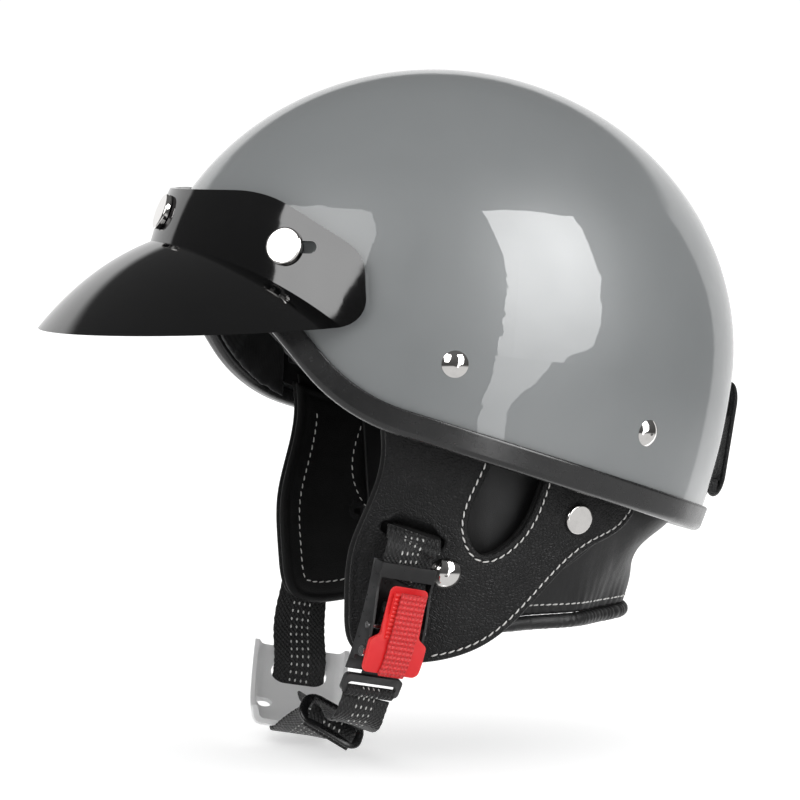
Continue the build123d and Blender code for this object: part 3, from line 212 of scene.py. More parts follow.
class Paint(Nodes):
    """A principled material, with the effects that the helmet's finishes share."""

    def __init__(self, name, color, rough, **sockets):
        self.mat = bpy.data.materials.new(name)
        self.mat.use_nodes = True
        super().__init__(self.mat.node_tree)
        self.shader = self.tree.nodes["Principled BSDF"]
        self.color = color
        self.set("Base Color", (*color, 1))
        self.set("Roughness", rough)
        for key, value in sockets.items():
            self.set(key.replace("_", " "), value)
        coords = self.add("ShaderNodeTexCoord")
        self.place = coords.outputs["Object"]
        self.flat = coords.outputs["UV"]
        self.normal = None

    def set(self, socket, value):
        self.shader.inputs[socket].default_value = value

    def use(self, group, vector, **numbers):
        """Places an effect's group with its own values."""
        node = self.add("ShaderNodeGroup", node_tree=group)
        self.join(vector, node.inputs[0])
        for key, number in numbers.items():
            node.inputs[key].default_value = number
        return node.outputs[0]

    def tint(self, share, other):
        """Mixes another colour into the base colour by a share."""
        old = self.shader.inputs["Base Color"]
        first = old.links[0].from_socket if old.is_linked else self.color
        self.join(self.mix(share, first, other), old)

    def mottle(self, scale, detail, low, high, amount, tone):
        numbers = {"Scale": scale, "Detail": detail, "From": low, "To": high, "Amount": amount}
        self.tint(self.use(mottling, self.place, **numbers), tone)

    def gloss(self, scale, smooth, rough, detail=3.0):
        share = self.use(uneven_gloss, self.place, Scale=scale, Detail=detail, Smooth=smooth, Rough=rough)
        self.join(share, self.shader.inputs["Roughness"])

    def wear(self, tone, amount, low=0.53, high=0.6):
        """Lighter rubbed edges, where the surface turns sharply."""
        self.tint(self.use(edge_wear, self.place, From=low, To=high, Amount=amount), tone)

    def bump(self, height, depth, strength=1.0):
        node = self.add("ShaderNodeBump")
        node.inputs["Distance"].default_value = depth
        node.inputs["Strength"].default_value = strength
        self.join(height, node.inputs["Height"])
        if self.normal:
            self.join(self.normal, node.inputs["Normal"])
        self.normal = node.outputs["Normal"]
        self.join(self.normal, self.shader.inputs["Normal"])


# The helmet's finishes
def shell_paint():
    """Grey lacquer under a clear coat with a faint orange peel."""
    paint = Paint("shell_paint", (0.232, 0.245, 0.250), 0.42,
                  Coat_Weight=1.0, Coat_Roughness=0.012, Coat_IOR=1.5)
    paint.mottle(9.0, 2.0, 0.3, 0.7, 0.5, (0.244, 0.256, 0.260))
    paint.mottle(5200.0, 1.0, 0.62, 0.8, 0.25, (0.285, 0.295, 0.295))
    paint.gloss(60.0, 0.38, 0.47)
    peel = paint.noise(230.0, 2.0, 0.4)
    wave = paint.noise(26.0, 1.0, 0.4)
    bump = paint.add("ShaderNodeBump")
    bump.inputs["Distance"].default_value = 0.00025
    bump.inputs["Strength"].default_value = 0.05
    paint.join(paint.calc("ADD", peel, paint.calc("MULTIPLY", wave, 2.0)), bump.inputs["Height"])
    paint.join(bump.outputs["Normal"], paint.shader.inputs["Coat Normal"])
    paint.bump(paint.noise(400.0, 2.0), 0.00005, 0.1)
    return paint.mat


def visor_plastic():
    """Black moulded plastic with smudges and hairlines."""
    paint = Paint("visor_plastic", (0.0016, 0.0016, 0.0018), 0.05, IOR=1.8)
    paint.mottle(34.0, 4.0, 0.4, 0.75, 0.4, (0.004, 0.004, 0.0043))
    paint.gloss(55.0, 0.045, 0.085)
    stretch = paint.add("ShaderNodeMapping")
    stretch.inputs["Scale"].default_value = (1.0, 0.12, 1.0)
    stretch.inputs["Rotation"].default_value = (0.4, 0.3, 0.7)
    paint.join(paint.place, stretch.inputs["Vector"])
    lines = paint.span(paint.noise(840.0, 2.0, 0.5, stretch.outputs[0]), 0.66, 0.72, 0, 1)
    patches = paint.span(paint.noise(24.0, 2.0), 0.5, 0.7, 0, 0.16)
    paint.tint(paint.calc("MULTIPLY", lines, patches), (0.05, 0.05, 0.052))
    paint.bump(paint.noise(36.0, 1.0), 0.0004, 0.05)
    return paint.mat


def trim_rubber():
    paint = Paint("trim_rubber", (0.014, 0.014, 0.0145), 0.26, IOR=1.6)
    paint.mottle(42.0, 4.0, 0.4, 0.7, 0.5, (0.026, 0.026, 0.0265))
    paint.gloss(150.0, 0.22, 0.3)
    paint.bump(paint.noise(1500.0, 2.0), 0.00008, 0.35)
    paint.wear((0.06, 0.06, 0.06), 0.4)
    return paint.mat


def liner_foam():
    """Black foam with its beads."""
    paint = Paint("liner_foam", (0.012, 0.012, 0.0125), 0.9, IOR=1.4)
    bead = paint.cells(330.0)
    paint.tint(paint.span(bead, 0.0, 0.12, 0.6, 0), (0.004, 0.004, 0.004))
    paint.mottle(60.0, 3.0, 0.4, 0.7, 0.4, (0.02, 0.02, 0.02))
    paint.gloss(300.0, 0.84, 0.95)
    paint.bump(bead, 0.0004, 0.6)
    return paint.mat


def pad_knit():
    """Fine brushed knit of the comfort pads, its rows along the object's axes."""
    light = (0.020, 0.020, 0.021)
    loop = 0.0007
    paint = Paint("quilted_lining", (0.010, 0.010, 0.0105), 0.85, Sheen_Weight=0.25, Sheen_Roughness=0.4,
                  Sheen_Tint=(0.5, 0.5, 0.52, 1), IOR=1.4)
    rows = [paint.calc("SINE", paint.calc("MULTIPLY", paint.axis(k), full_turn / loop)) for k in range(3)]
    knit = paint.calc("ADD", paint.calc("MULTIPLY", rows[1], rows[2]),
                      paint.calc("MULTIPLY", rows[0], rows[2]))
    paint.tint(paint.span(knit, -1, 1.4, 0, 0.5), light)
    paint.mottle(40.0, 4.0, 0.45, 0.75, 0.45, light)
    paint.gloss(180.0, 0.8, 0.93)
    paint.bump(knit, 0.00012, 0.5)
    paint.bump(paint.noise(2600.0, 2.0), 0.0001, 0.35)
    return paint.mat


def leather(name, tone, light, pebbles, smooth, rough, depth):
    """Pebbled leather, its grains parted by fine creases, worn paler on the high places."""
    paint = Paint(name, tone, smooth, IOR=1.36)
    raised = paint.use(pebble_grain, paint.place, Scale=pebbles)
    paint.tint(paint.span(raised, 0.0, 0.6, 0.55, 0), tuple(0.35 * v for v in tone))
    paint.mottle(30.0, 4.0, 0.45, 0.72, 0.6, light)
    paint.gloss(95.0, smooth, rough, 4.0)
    paint.bump(raised, depth, 0.75)
    paint.bump(paint.noise(pebbles * 3.4), depth * 0.35, 0.4)
    paint.bump(paint.noise(70.0, 2.0), 0.0006, 0.25)
    paint.wear(tuple(2.4 * v for v in light), 0.35)
    return paint.mat


def curtain_leather():
    """Thin smooth synthetic leather of the curtain, with soft creases."""
    paint = Paint("curtain_leather", (0.010, 0.010, 0.0105), 0.4, IOR=1.45)
    paint.mottle(22.0, 4.0, 0.42, 0.7, 0.6, (0.016, 0.016, 0.0165))
    paint.gloss(85.0, 0.37, 0.5, 4.0)
    paint.bump(paint.span(paint.cells(1500.0), 0, 0.25, 0, 1), 0.00008, 0.5)
    paint.bump(paint.noise(75.0, 3.0, 0.6), 0.0011, 0.3)
    paint.wear((0.05, 0.05, 0.05), 0.3)
    return paint.mat


def reflective_dots(paint):
    """Share of the pale dots woven into the middle of the webbing, four across."""
    column = 0.0027
    row = 0.0039
    half_wide = 0.42
    half_long = 0.8
    band = 0.0052
    across = paint.axis(0, paint.flat)
    along = paint.axis(1, paint.flat)

    def from_middle(value):
        return paint.calc("ABSOLUTE", paint.calc("SUBTRACT", paint.calc("FRACT", value), 0.5))

    near = from_middle(paint.calc("ADD", paint.calc("DIVIDE", across, column), 100.0))
    step = from_middle(paint.calc("DIVIDE", along, row))
    reach = paint.calc("ADD", paint.calc("POWER", paint.calc("MULTIPLY", near, column / mm / half_wide), 2.0),
                       paint.calc("POWER", paint.calc("MULTIPLY", step, row / mm / half_long), 2.0))
    inside = paint.span(paint.calc("ABSOLUTE", across), band, band + 0.0002, 1, 0)
    return paint.calc("MULTIPLY", paint.span(reach, 0.7, 1.1, 1, 0), inside)


def webbing_cloth(name, dots=True):
    """Woven webbing: UV in metres, first across and second along."""
    paint = Paint(name, (0.0075, 0.0075, 0.008), 0.62, Sheen_Weight=0.12, Sheen_Roughness=0.35, IOR=1.45)
    height = paint.use(webbing_weave, paint.flat, Rib=0.0021, Pick=0.0026)
    paint.tint(paint.span(height, -0.2, 1.2, 0, 0.8), (0.028, 0.028, 0.0285))
    paint.mottle(2800.0, 2.0, 0.5, 0.8, 0.4, (0.04, 0.04, 0.041))
    if dots:
        dot = reflective_dots(paint)
        paint.tint(dot, (0.72, 0.72, 0.7))
        height = paint.calc("ADD", height, paint.calc("MULTIPLY", dot, 0.7))
    paint.gloss(500.0, 0.55, 0.7)
    paint.bump(height, 0.00035, 0.8)
    return paint.mat


def metal(name, tone, rough, brushed=False):
    """Bright metal, darker in its hollows, polished or brushed."""
    paint = Paint(name, tone, rough, Metallic=1.0)
    paint.mottle(160.0, 5.0, 0.5, 0.8, 0.35, tuple(0.72 * v for v in tone))
    paint.gloss(420.0, rough, rough + 0.07)
    if brushed:
        stretch = paint.add("ShaderNodeMapping")
        stretch.inputs["Scale"].default_value = (1, 0.04, 1)
        paint.join(paint.place, stretch.inputs["Vector"])
        paint.bump(paint.noise(5200.0, 2.0, vector=stretch.outputs[0]), 0.00004, 0.4)
    else:
        paint.bump(paint.noise(330.0, 2.0), 0.00004, 0.12)
    hollow = paint.add("ShaderNodeNewGeometry").outputs["Pointiness"]
    # Darker brownish tone where the surface is hollow.
    paint.tint(paint.span(hollow, 0.47, 0.42, 0, 0.5), (0.12, 0.11, 0.1))
    return paint.mat


def buckle_steel():
    """Black painted steel, rubbed at its corners."""
    paint = Paint("buckle_steel", (0.007, 0.007, 0.0075), 0.24, IOR=1.5)
    paint.mottle(80.0, 4.0, 0.4, 0.7, 0.5, (0.012, 0.012, 0.0125))
    paint.gloss(260.0, 0.26, 0.42)
    paint.bump(paint.noise(1900.0, 2.0), 0.00005, 0.3)
    paint.wear((0.16, 0.16, 0.165), 0.4, 0.56, 0.66)
    return paint.mat


def lever_red():
    paint = Paint("lever_red", (0.92, 0.026, 0.032), 0.36, IOR=1.46, Subsurface_Weight=0.06,
                  Subsurface_Scale=0.004, Subsurface_Radius=(1.0, 0.2, 0.1))
    paint.mottle(70.0, 3.0, 0.4, 0.7, 0.5, (0.95, 0.026, 0.026))
    paint.gloss(300.0, 0.3, 0.42)
    paint.bump(paint.noise(2200.0, 2.0), 0.00005, 0.3)
    paint.wear((1.0, 0.09, 0.07), 0.4)
    return paint.mat


def pull_ribbon():
    """Red woven ribbon of the lever's pull: UV in metres, ribs across it and fine cords along it."""
    rib = 0.0023
    cord = 0.0021
    paint = Paint("pull_ribbon", (0.90, 0.022, 0.028), 0.55, Sheen_Weight=0.15, Sheen_Roughness=0.4, IOR=1.45)
    cords = paint.calc("SINE", paint.calc("MULTIPLY", paint.axis(0, paint.flat), full_turn / cord))
    ribs = paint.calc("SINE", paint.calc("MULTIPLY", paint.axis(1, paint.flat), full_turn / rib))
    height = paint.calc("ADD", paint.calc("MULTIPLY", cords, 0.55), ribs)
    # Painted shade: the low places between the ribs and the cords are tinted a darker red.
    paint.tint(paint.span(height, -1.3, 0.2, 0.7, 0), (0.62, 0.010, 0.014))
    paint.mottle(2400.0, 2.0, 0.5, 0.8, 0.4, (1.0, 0.08, 0.07))
    paint.gloss(500.0, 0.5, 0.65)
    paint.bump(height, 0.0004, 0.8)
    return paint.mat


def black_plastic(name, smooth, rough):
    """Moulded black plastic with a fine grain."""
    tone = (0.008, 0.008, 0.0085)
    paint = Paint(name, tone, smooth, IOR=1.5)
    paint.mottle(90.0, 4.0, 0.4, 0.7, 0.6, tuple(1.9 * v for v in tone))
    paint.gloss(240.0, smooth, rough)
    paint.bump(paint.cells(2600.0), 0.00005, 0.4)
    paint.wear((0.12, 0.12, 0.12), 0.45)
    return paint.mat


def cup_plastic():
    """White, slightly translucent plastic of the chin cup."""
    paint = Paint("cup_plastic", (0.90, 0.90, 0.90), 0.34, IOR=1.46, Subsurface_Weight=0.2,
                  Subsurface_Scale=0.006, Subsurface_Radius=(1.0, 1.0, 1.0))
    paint.mottle(60.0, 4.0, 0.4, 0.7, 0.4, (0.86, 0.86, 0.87))
    paint.gloss(210.0, 0.3, 0.48)
    paint.bump(paint.noise(900.0, 2.0), 0.00012, 0.25)
    paint.wear((0.93, 0.93, 0.93), 0.4)
    return paint.mat


def white_thread():
    """Twisted sewing thread."""
    paint = Paint("white_thread", (0.80, 0.79, 0.77), 0.6, Sheen_Weight=0.2, IOR=1.45)
    paint.mottle(700.0, 3.0, 0.5, 0.8, 0.5, (0.62, 0.61, 0.59))
    twist = paint.add("ShaderNodeTexWave")
    twist.inputs["Scale"].default_value = 900.0
    twist.inputs["Distortion"].default_value = 2.0
    paint.join(paint.place, twist.inputs["Vector"])
    paint.gloss(900.0, 0.5, 0.7)
    paint.bump(twist.outputs["Fac"], 0.0001, 0.6)
    return paint.mat


paints = {
    "shell_paint": shell_paint(),
    "trim_rubber": trim_rubber(),
    "liner_foam": liner_foam(),
    "quilted_lining": pad_knit(),
    "visor_plastic": visor_plastic(),
    "bright_steel": metal("bright_steel", (0.66, 0.66, 0.67), 0.2, brushed=True),
    "rivet_chrome": metal("chrome", (0.86, 0.84, 0.82), 0.05),
    "webbing": webbing_cloth("webbing"),
    "flap_leather": leather("flap_leather", (0.0085, 0.0085, 0.009), (0.014, 0.014, 0.0145),
                            620.0, 0.44, 0.6, 0.00028),
    "flap_lining": leather("flap_lining", (0.0065, 0.0065, 0.0068), (0.011, 0.011, 0.0112),
                           1400.0, 0.5, 0.62, 0.0001),
    "curtain_fabric": curtain_leather(),
    "buckle_steel": buckle_steel(),
    "lever_red": lever_red(),
    "tongue_plastic": black_plastic("tongue_plastic", 0.3, 0.42),
    "glide_plastic": black_plastic("glide_plastic", 0.22, 0.32),
    "cup_plastic": cup_plastic(),
}
thread = white_thread()
plain_web = webbing_cloth("webbing_plain", dots=False)
for part in frame["record"]["subparts"]:
    obj = nodes[part["node"]]
    paint = paints[part["material_slot"]]
    if not obj.material_slots:
        obj.data.materials.append(paint)
    for place in obj.material_slots:
        place.material = paint



# Making pieces
def mesh_piece(name, points, faces, paint, body, uv=None):
    """Smooth piece that rides on a body, its points in metres."""
    mesh = bpy.data.meshes.new(name)
    mesh.from_pydata([tuple(p) for p in points], [], faces)
    mesh.validate()
    mesh.update()
    mesh.shade_smooth()
    if uv is not None:
        layer = mesh.uv_layers.new(name="UVMap")
        for loop in mesh.loops:
            layer.data[loop.index].uv = uv[loop.vertex_index]
    mesh.materials.append(paint)
    obj = bpy.data.objects.new(name, mesh)
    bpy.context.scene.collection.objects.link(obj)
    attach(obj, body)
    return obj


def tube_faces(steps, around):
    """Faces of a tube whose rings of points follow each other."""
    faces = []
    for i in range(steps):
        for j in range(around):
            a = i * around + j
            b = i * around + (j + 1) % around
            faces.append((a, b, b + around, a + around))
    return faces


def closed_spline(points, spacing):
    """Evenly sampled smooth closed curve through plane points."""
    p = np.array(points, float)
    n = len(p)
    h = np.linalg.norm(np.roll(p, -1, 0) - p, axis=1)
    a = np.zeros((n, n))
    b = np.zeros((n, 2))
    for i in range(n):
        before = h[i - 1]
        after = h[i]
        a[i, i] = 2 * (before + after)
        a[i, i - 1] += before
        a[i, (i + 1) % n] += after
        b[i] = 6 * ((p[(i + 1) % n] - p[i]) / after - (p[i] - p[i - 1]) / before)
    m = np.linalg.solve(a, b)
    out = []
    for i in range(n):
        j = (i + 1) % n
        count = max(2, round(h[i] / spacing))
        for k in range(count):
            t = h[i] * k / count
            s = h[i] - t
            out.append((m[i] * s**3 + m[j] * t**3) / (6 * h[i]) + (p[i] / h[i] - m[i] * h[i] / 6) * s
                       + (p[j] / h[i] - m[j] * h[i] / 6) * t)
    return np.array(out)


def open_spline(values, at, where):
    """Natural cubic spline through values at given places, read where asked."""
    x = np.array(at, float)
    y = np.array(values, float)
    n = len(x)
    h = np.diff(x)
    a = np.eye(n)
    b = np.zeros_like(y)
    for i in range(1, n - 1):
        a[i, i - 1] = h[i - 1]
        a[i, i] = 2 * (h[i - 1] + h[i])
        a[i, i + 1] = h[i]
        b[i] = 6 * ((y[i + 1] - y[i]) / h[i] - (y[i] - y[i - 1]) / h[i - 1])
    m = np.linalg.solve(a, b)
    out = []
    for w in where:
        i = int(np.clip(np.searchsorted(x, w) - 1, 0, n - 2))
        t = w - x[i]
        s = x[i + 1] - w
        out.append((m[i] * s**3 + m[i + 1] * t**3) / (6 * h[i]) + (y[i] / h[i] - m[i] * h[i] / 6) * s
                   + (y[i + 1] / h[i] - m[i + 1] * h[i] / 6) * t)
    return np.array(out)


rim_points = ((-165, 36), (-134.2, 36), (-118.9, 35.1), (-107.2, 25.7), (-98.2, 13.2), (-89.3, 0.7),
              (-79.7, -11.4), (-68.0, -21.3), (-54.5, -28.6), (-39.9, -33.6), (-25.3, -38.3), (165, -100.1))


def rim_level(y):
    """Height of the shell's rim line at a place along the head, in millimetres."""
    return float(np.interp(y, [p[0] for p in rim_points], [p[1] for p in rim_points]))


def clipped(outline, rise):
    """Closed outline cut off above the rim line raised by an amount."""
    kept = []
    n = len(outline)
    inside = [p[1] < rim_level(p[0]) + rise for p in outline]
    if all(inside):
        return outline
    start = next(i for i in range(n) if inside[i] and not inside[i - 1])

    def crossing(p, q):
        low, high = 0.0, 1.0
        keep = p[1] < rim_level(p[0]) + rise
        for _ in range(30):
            mid = (low + high) / 2
            w = p + (q - p) * mid
            if (w[1] < rim_level(w[0]) + rise) == keep:
                low = mid
            else:
                high = mid
        return p + (q - p) * low

    def bridge(p, q):
        count = max(2, int(abs(q[0] - p[0]) / 1.3))
        along = [p[0] + (q[0] - p[0]) * k / count for k in range(1, count)]
        return [np.array((y, rim_level(y) + rise)) for y in along]

    first = crossing(outline[start], outline[start - 1])
    kept.append(first)
    last = None
    for k in range(n):
        p = outline[(start + k) % n]
        q = outline[(start + k + 1) % n]
        here = inside[(start + k) % n]
        there = inside[(start + k + 1) % n]
        if here:
            kept.append(p)
        if here and not there:
            last = crossing(p, q)
            kept.append(last)
        if not here and there and k < n - 1:
            entry = crossing(q, p)
            kept.extend(bridge(last, entry))
            kept.append(entry)
    kept.extend(bridge(last, first))
    tidy = [kept[0]]
    for p in kept[1:]:
        if np.linalg.norm(p - tidy[-1]) > 0.25:
            tidy.append(p)
    if np.linalg.norm(tidy[0] - tidy[-1]) < 0.25:
        tidy.pop()
    return np.array(tidy)


def away(points, outline):
    """Distance of plane points from a closed outline."""
    a = outline
    b = np.roll(outline, -1, 0)
    d = b - a
    long = (d**2).sum(1)
    best = np.full(len(points), 1e9)
    for k in range(len(a)):
        t = np.clip(((points - a[k]) @ d[k]) / max(long[k], 1e-12), 0, 1)
        gap = np.linalg.norm(points - a[k] - t[:, None] * d[k], axis=1)
        best = np.minimum(best, gap)
    return best


def inset(outline, depth):
    """Points a depth inside a closed outline, in order."""
    turn = sum(a[0] * b[1] - b[0] * a[1] for a, b in zip(outline, np.roll(outline, -1, 0)))
    side = 1 if turn > 0 else -1
    along = np.roll(outline, -1, 0) - np.roll(outline, 1, 0)
    along /= np.linalg.norm(along, axis=1)[:, None]
    inward = np.stack((-along[:, 1], along[:, 0]), 1) * side
    return outline + inward * depth


def within(p, loop):
    """Whether a plane point lies inside a closed loop."""
    inside = False
    for a, b in zip(loop, np.roll(loop, -1, 0)):
        if (a[1] > p[1]) != (b[1] > p[1]) and p[0] < (b[0] - a[0]) * (p[1] - a[1]) / (b[1] - a[1]) + a[0]:
            inside = not inside
    return inside


def filling(low, high, step):
    """Points of a triangular grid between two corners."""
    grid = []
    row = 0
    y = low[1]
    while y < high[1]:
        x = low[0] + (step / 2 if row % 2 else 0)
        while x < high[0]:
            grid.append((x, y))
            x += step
        y += step * 0.866
        row += 1
    return np.array(grid)


def leaf(name, outline, surface, front, rear, paint, body, step=2.6,
         rings=(0.12, 0.4, 0.8, 1.3, 1.9, 2.5, 3.1, 4.2), holes=()):
    """Soft sheet of a given outline with rounded edges.

    Front and rear give its half thickness by the distance from the edge.
    """
    loops = [outline, *holes]

    def reach(points):
        return np.min([away(points, loop) for loop in loops], axis=0)

    chosen = [np.concatenate(loops)]
    for index, loop in enumerate(loops):
        for depth in rings:
            ring = inset(loop, -depth if index else depth)
            chosen.append(ring[reach(ring) > depth * 0.93])
    grid = filling(outline.min(0), outline.max(0), step)
    chosen.append(grid[reach(grid) > rings[-1] + step * 0.45])
    flat = [Vector((float(p[0]), float(p[1]))) for p in np.concatenate(chosen)]
    edges = []
    start = 0
    for loop in loops:
        edges += [(start + i, start + (i + 1) % len(loop)) for i in range(len(loop))]
        start += len(loop)
    border = list(range(len(outline)))
    verts, _, tris, _, _, _ = geometry.delaunay_2d_cdt(flat, edges, [border], 1, 1e-5)
    plane = np.array([(v.x, v.y) for v in verts])
    gaps = reach(plane)
    tris = [t for t in tris if not any(within(plane[list(t)].mean(0), hole) for hole in holes)]
    tops, bottoms, out = [], [], []
    for i, p in enumerate(plane):
        where, normal = surface(p[0], p[1])
        d = gaps[i]
        if d < 0.02:
            out.append(where * mm)
            tops.append(len(out) - 1)
            bottoms.append(len(out) - 1)
        else:
            out.append((where + normal * front(d, p[0], p[1])) * mm)
            tops.append(len(out) - 1)
            out.append((where - normal * rear(d, p[0], p[1])) * mm)
            bottoms.append(len(out) - 1)
    a, b, c = (out[tops[k]] for k in tris[0])
    _, normal = surface(*plane[tris[0][0]])
    upward = (b - a).cross(c - a).dot(normal) > 0
    skin = []
    for t in tris:
        t = list(t) if upward else list(reversed(t))
        top = [tops[k] for k in t]
        bottom = [bottoms[k] for k in reversed(t)]
        if len(set(top)) == 3:
            skin.append(top)
        if len(set(bottom)) == 3 and set(bottom) != set(top):
            skin.append(bottom)
    return mesh_piece(name, out, skin, paint, body)


def rounded(half, reach, groove=0.0, at=2.6, width=0.7, puff=0.0, wave=0.0, seed=0.0):
    """Half thickness by edge distance: a rounded edge, a sunk stitch line and a soft crown."""
    def profile(d, x, y):
        share = min(d / reach, 1.0)
        value = half * math.sqrt(max(1 - (1 - share) ** 2, 0.0))
        value -= groove * math.exp(-((d - at) / width) ** 2)
        value += puff * (1 - math.exp(-max(d - at, 0) / 9.0))
        if wave:
            fade = min(d / 4.0, 1.0)
            value += fade * wave * noise.noise(Vector((x / 16.0, y / 16.0, seed)))
            value += fade * 0.4 * wave * noise.noise(Vector((x / 6.0, y / 6.0, seed + 7)))
        return value
    return profile


def stitches(name, runs, body, pitch, length, width, slant=0.14):
    """Separate sewn stitches along paths of (point, normal), in millimetres."""
    rows = 6
    sides = 8
    lift = 0.12
    sunk_ends = 0.42
    flatness = 0.75
    points, faces = [], []
    for path in runs:
        where = [Vector(p) for p, _ in path]
        normals = [Vector(n) for _, n in path]
        total = [0.0]
        for a, b in zip(where, where[1:]):
            total.append(total[-1] + (b - a).length)
        count = int(total[-1] / pitch)
        if count < 1:
            continue
        spot = 0
        for k in range(count):
            goal = (k + 0.5) * total[-1] / count
            while spot < len(total) - 2 and total[spot + 1] < goal:
                spot += 1
            share = (goal - total[spot]) / max(total[spot + 1] - total[spot], 1e-9)
            middle = where[spot].lerp(where[spot + 1], share)
            out = normals[spot].lerp(normals[spot + 1], share).normalized()
            along = (where[spot + 1] - where[spot]).normalized()
            side = out.cross(along).normalized()
            along = (along + side * slant).normalized()
            side = out.cross(along).normalized()
            base = len(points)
            for i in range(rows + 1):
                t = -1 + 2 * i / rows
                fat = width / 2 * math.sqrt(max(1 - abs(t) ** 3.2, 0.02))
                core = middle + along * (t * length / 2) + out * (lift - sunk_ends * abs(t) ** 3)
                for j in range(sides):
                    turn = full_turn * j / sides
                    ring = side * math.cos(turn) + out * (flatness * math.sin(turn))
                    points.append((core + ring * fat) * mm)
            faces += [[base + i for i in face] for face in tube_faces(rows, sides)]
            faces.append([base + j for j in reversed(range(sides))])
            faces.append([base + rows * sides + j for j in range(sides)])
    return mesh_piece(name, points, faces, thread, body)


# The leather ear flaps, each with its lining and the webbing sewn in between
flap_corner = (-62.0, -16.0)
flap_size = (142.0, 123.0)
flap_cut = 8.7
web_cut = 13.0
seam_depth = 2.9
lining_seam_depth = 10.0
# The leather's sewn line starts behind the buckle
seam_start = -27.0
flap_shares = (
    (0.10, 0.0), (0.09, 0.22), (0.01, 0.58), (0.004, 0.80), (0.03, 0.95), (0.22, 1.0), (0.45, 0.918),
    (0.627, 0.731), (0.789, 0.590), (0.888, 0.545), (0.965, 0.46), (1.0, 0.30), (0.70, 0.12),
    (0.606, 0.313), (0.475, 0.575), (0.40, 0.60), (0.36, 0.54), (0.393, 0.34), (0.43, 0.02),
)
web_shares = (
    (0.14, 0.0), (0.317, 0.0), (0.282, 0.44), (0.296, 0.602), (0.50, 0.61), (0.754, 0.236),
    (0.93, 0.293), (0.549, 0.74), (0.225, 0.683), (0.12, 0.569), (0.134, 0.44),
)


def form_point(y, z, grow, side):
    """Place and outward direction on the cheek's rounded form, grown by an amount."""
    taper = 0.13629
    flattening = 0.77
    radius = 91.63 + grow + taper * z
    x = math.sqrt(max(radius**2 - (flattening * y) ** 2, 1.0))
    out = Vector((side * x, flattening**2 * y, -taper * radius)).normalized()
    return Vector((side * x, y, z)), out


def share_outline(shares, rise, cut):
    """Closed outline from shares of the flap's size, cut off at the rim."""
    points = [(a * flap_size[0] + flap_corner[0], flap_corner[1] - b * flap_size[1] + rise)
              for a, b in shares]
    return clipped(closed_spline(points, 1.3), cut)


def slit_loop(rise, width=5.6, length=29.0):
    """Outline of the strap's slit."""
    slope = math.radians(-18.6)
    middle = (-36.0, -80.5)
    steps = 28
    half = (length - width) / 2
    loop = []
    for k in range(steps):
        turn = full_turn * k / steps
        x = width / 2 * math.cos(turn) + (half if math.cos(turn) > 0 else -half)
        y = width / 2 * math.sin(turn)
        loop.append((middle[0] + x * math.cos(slope) - y * math.sin(slope),
                     middle[1] + rise + x * math.sin(slope) + y * math.cos(slope)))
    return np.array(loop)


def stitch_runs(outline, side, grow, depth, keep):
    """Runs of a sewn line inside the outline, broken where it would meet the rim."""
    ring = inset(outline, depth)
    gap = away(ring, outline)
    count = len(ring)

    def left_out(i):
        at_rim = outline[i][1] > rim_level(outline[i][0]) + flap_cut - 1.2
        return gap[i] < depth * 0.92 or at_rim or not keep(ring[i][0])

    bad = [left_out(i) for i in range(count)]
    first = next((i for i in range(count) if bad[i]), 0)
    runs, run = [], []
    for k in [*range(count), 0]:
        i = (first + k) % count
        if bad[i]:
            if len(run) > 4:
                runs.append(run)
            run = []
            continue
        run.append(form_point(ring[i][0], ring[i][1], grow, side))
    if len(run) > 4:
        runs.append(run)
    return runs


for word, side, rise in (("left", 1, 0.0), ("right", -1, 12.0)):
    outline = share_outline(flap_shares, rise, flap_cut)
    slit = slit_loop(rise)
    face = leaf(
        f"flap_{word}_leather", outline, lambda y, z, s=side: form_point(y, z, 2.6, s),
        rounded(1.4, 1.5, groove=0.35, at=seam_depth, width=0.8, puff=0.25, wave=0.35, seed=side),
        rounded(1.4, 1.5), paints["flap_leather"], "helmet", holes=(slit,),
    )
    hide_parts(f"ear_flap_{word}")
    line = stitch_runs(outline, side, 4.0, seam_depth, lambda y: y > seam_start)
    sewn = stitches(f"flap_{word}_stitching", line, "helmet", pitch=3.9, length=3.3, width=0.75, slant=0.16)
    lining = leaf(
        f"flap_{word}_lining", outline, lambda y, z, s=side: form_point(y, z, -3.4, s),
        rounded(2.0, 2.2),
        rounded(2.0, 3.0, groove=0.5, at=4.0, width=1.2, puff=0.2, wave=0.4, seed=side + 3),
        paints["flap_lining"], "helmet", rings=(0.15, 0.5, 1.0, 1.7, 2.5, 3.3, 4.1, 5.0, 6.2),
    )
    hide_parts(f"ear_flap_{word}_lining")
    line = stitch_runs(outline, side, -5.4, lining_seam_depth, lambda y: True)
    sewn = stitches(f"flap_{word}_lining_stitching", [[(p, -n) for p, n in run] for run in line], "helmet",
                    pitch=3.9, length=3.1, width=0.6)
    anchor = leaf(
        f"anchor_{word}_webbing", share_outline(web_shares, rise, web_cut),
        lambda y, z, s=side: form_point(y, z, -0.1, s), rounded(0.65, 0.7), rounded(0.65, 0.7),
        plain_web, "helmet", rings=(0.1, 0.3, 0.6, 1.2), step=4.0,
    )
    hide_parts(f"strap_anchor_{word}")


# Webbing
def strip_section(half, thin, selvedge=0.6):
    """Flat section with rounded selvedges, as (across, out)."""
    flat = half - selvedge
    steps = 16
    section = [(-flat + 2 * flat * k / steps, thin) for k in range(steps + 1)]
    for degrees in (60, 30, 0, -30, -60):
        t = math.radians(degrees)
        section.append((flat + selvedge * math.cos(t), thin * math.sin(t)))
    section += [(flat - 2 * flat * k / steps, -thin) for k in range(steps + 1)]
    for degrees in (240, 210, 180, 150, 120):
        t = math.radians(degrees)
        section.append((-flat + selvedge * math.cos(t), thin * math.sin(t)))
    return section


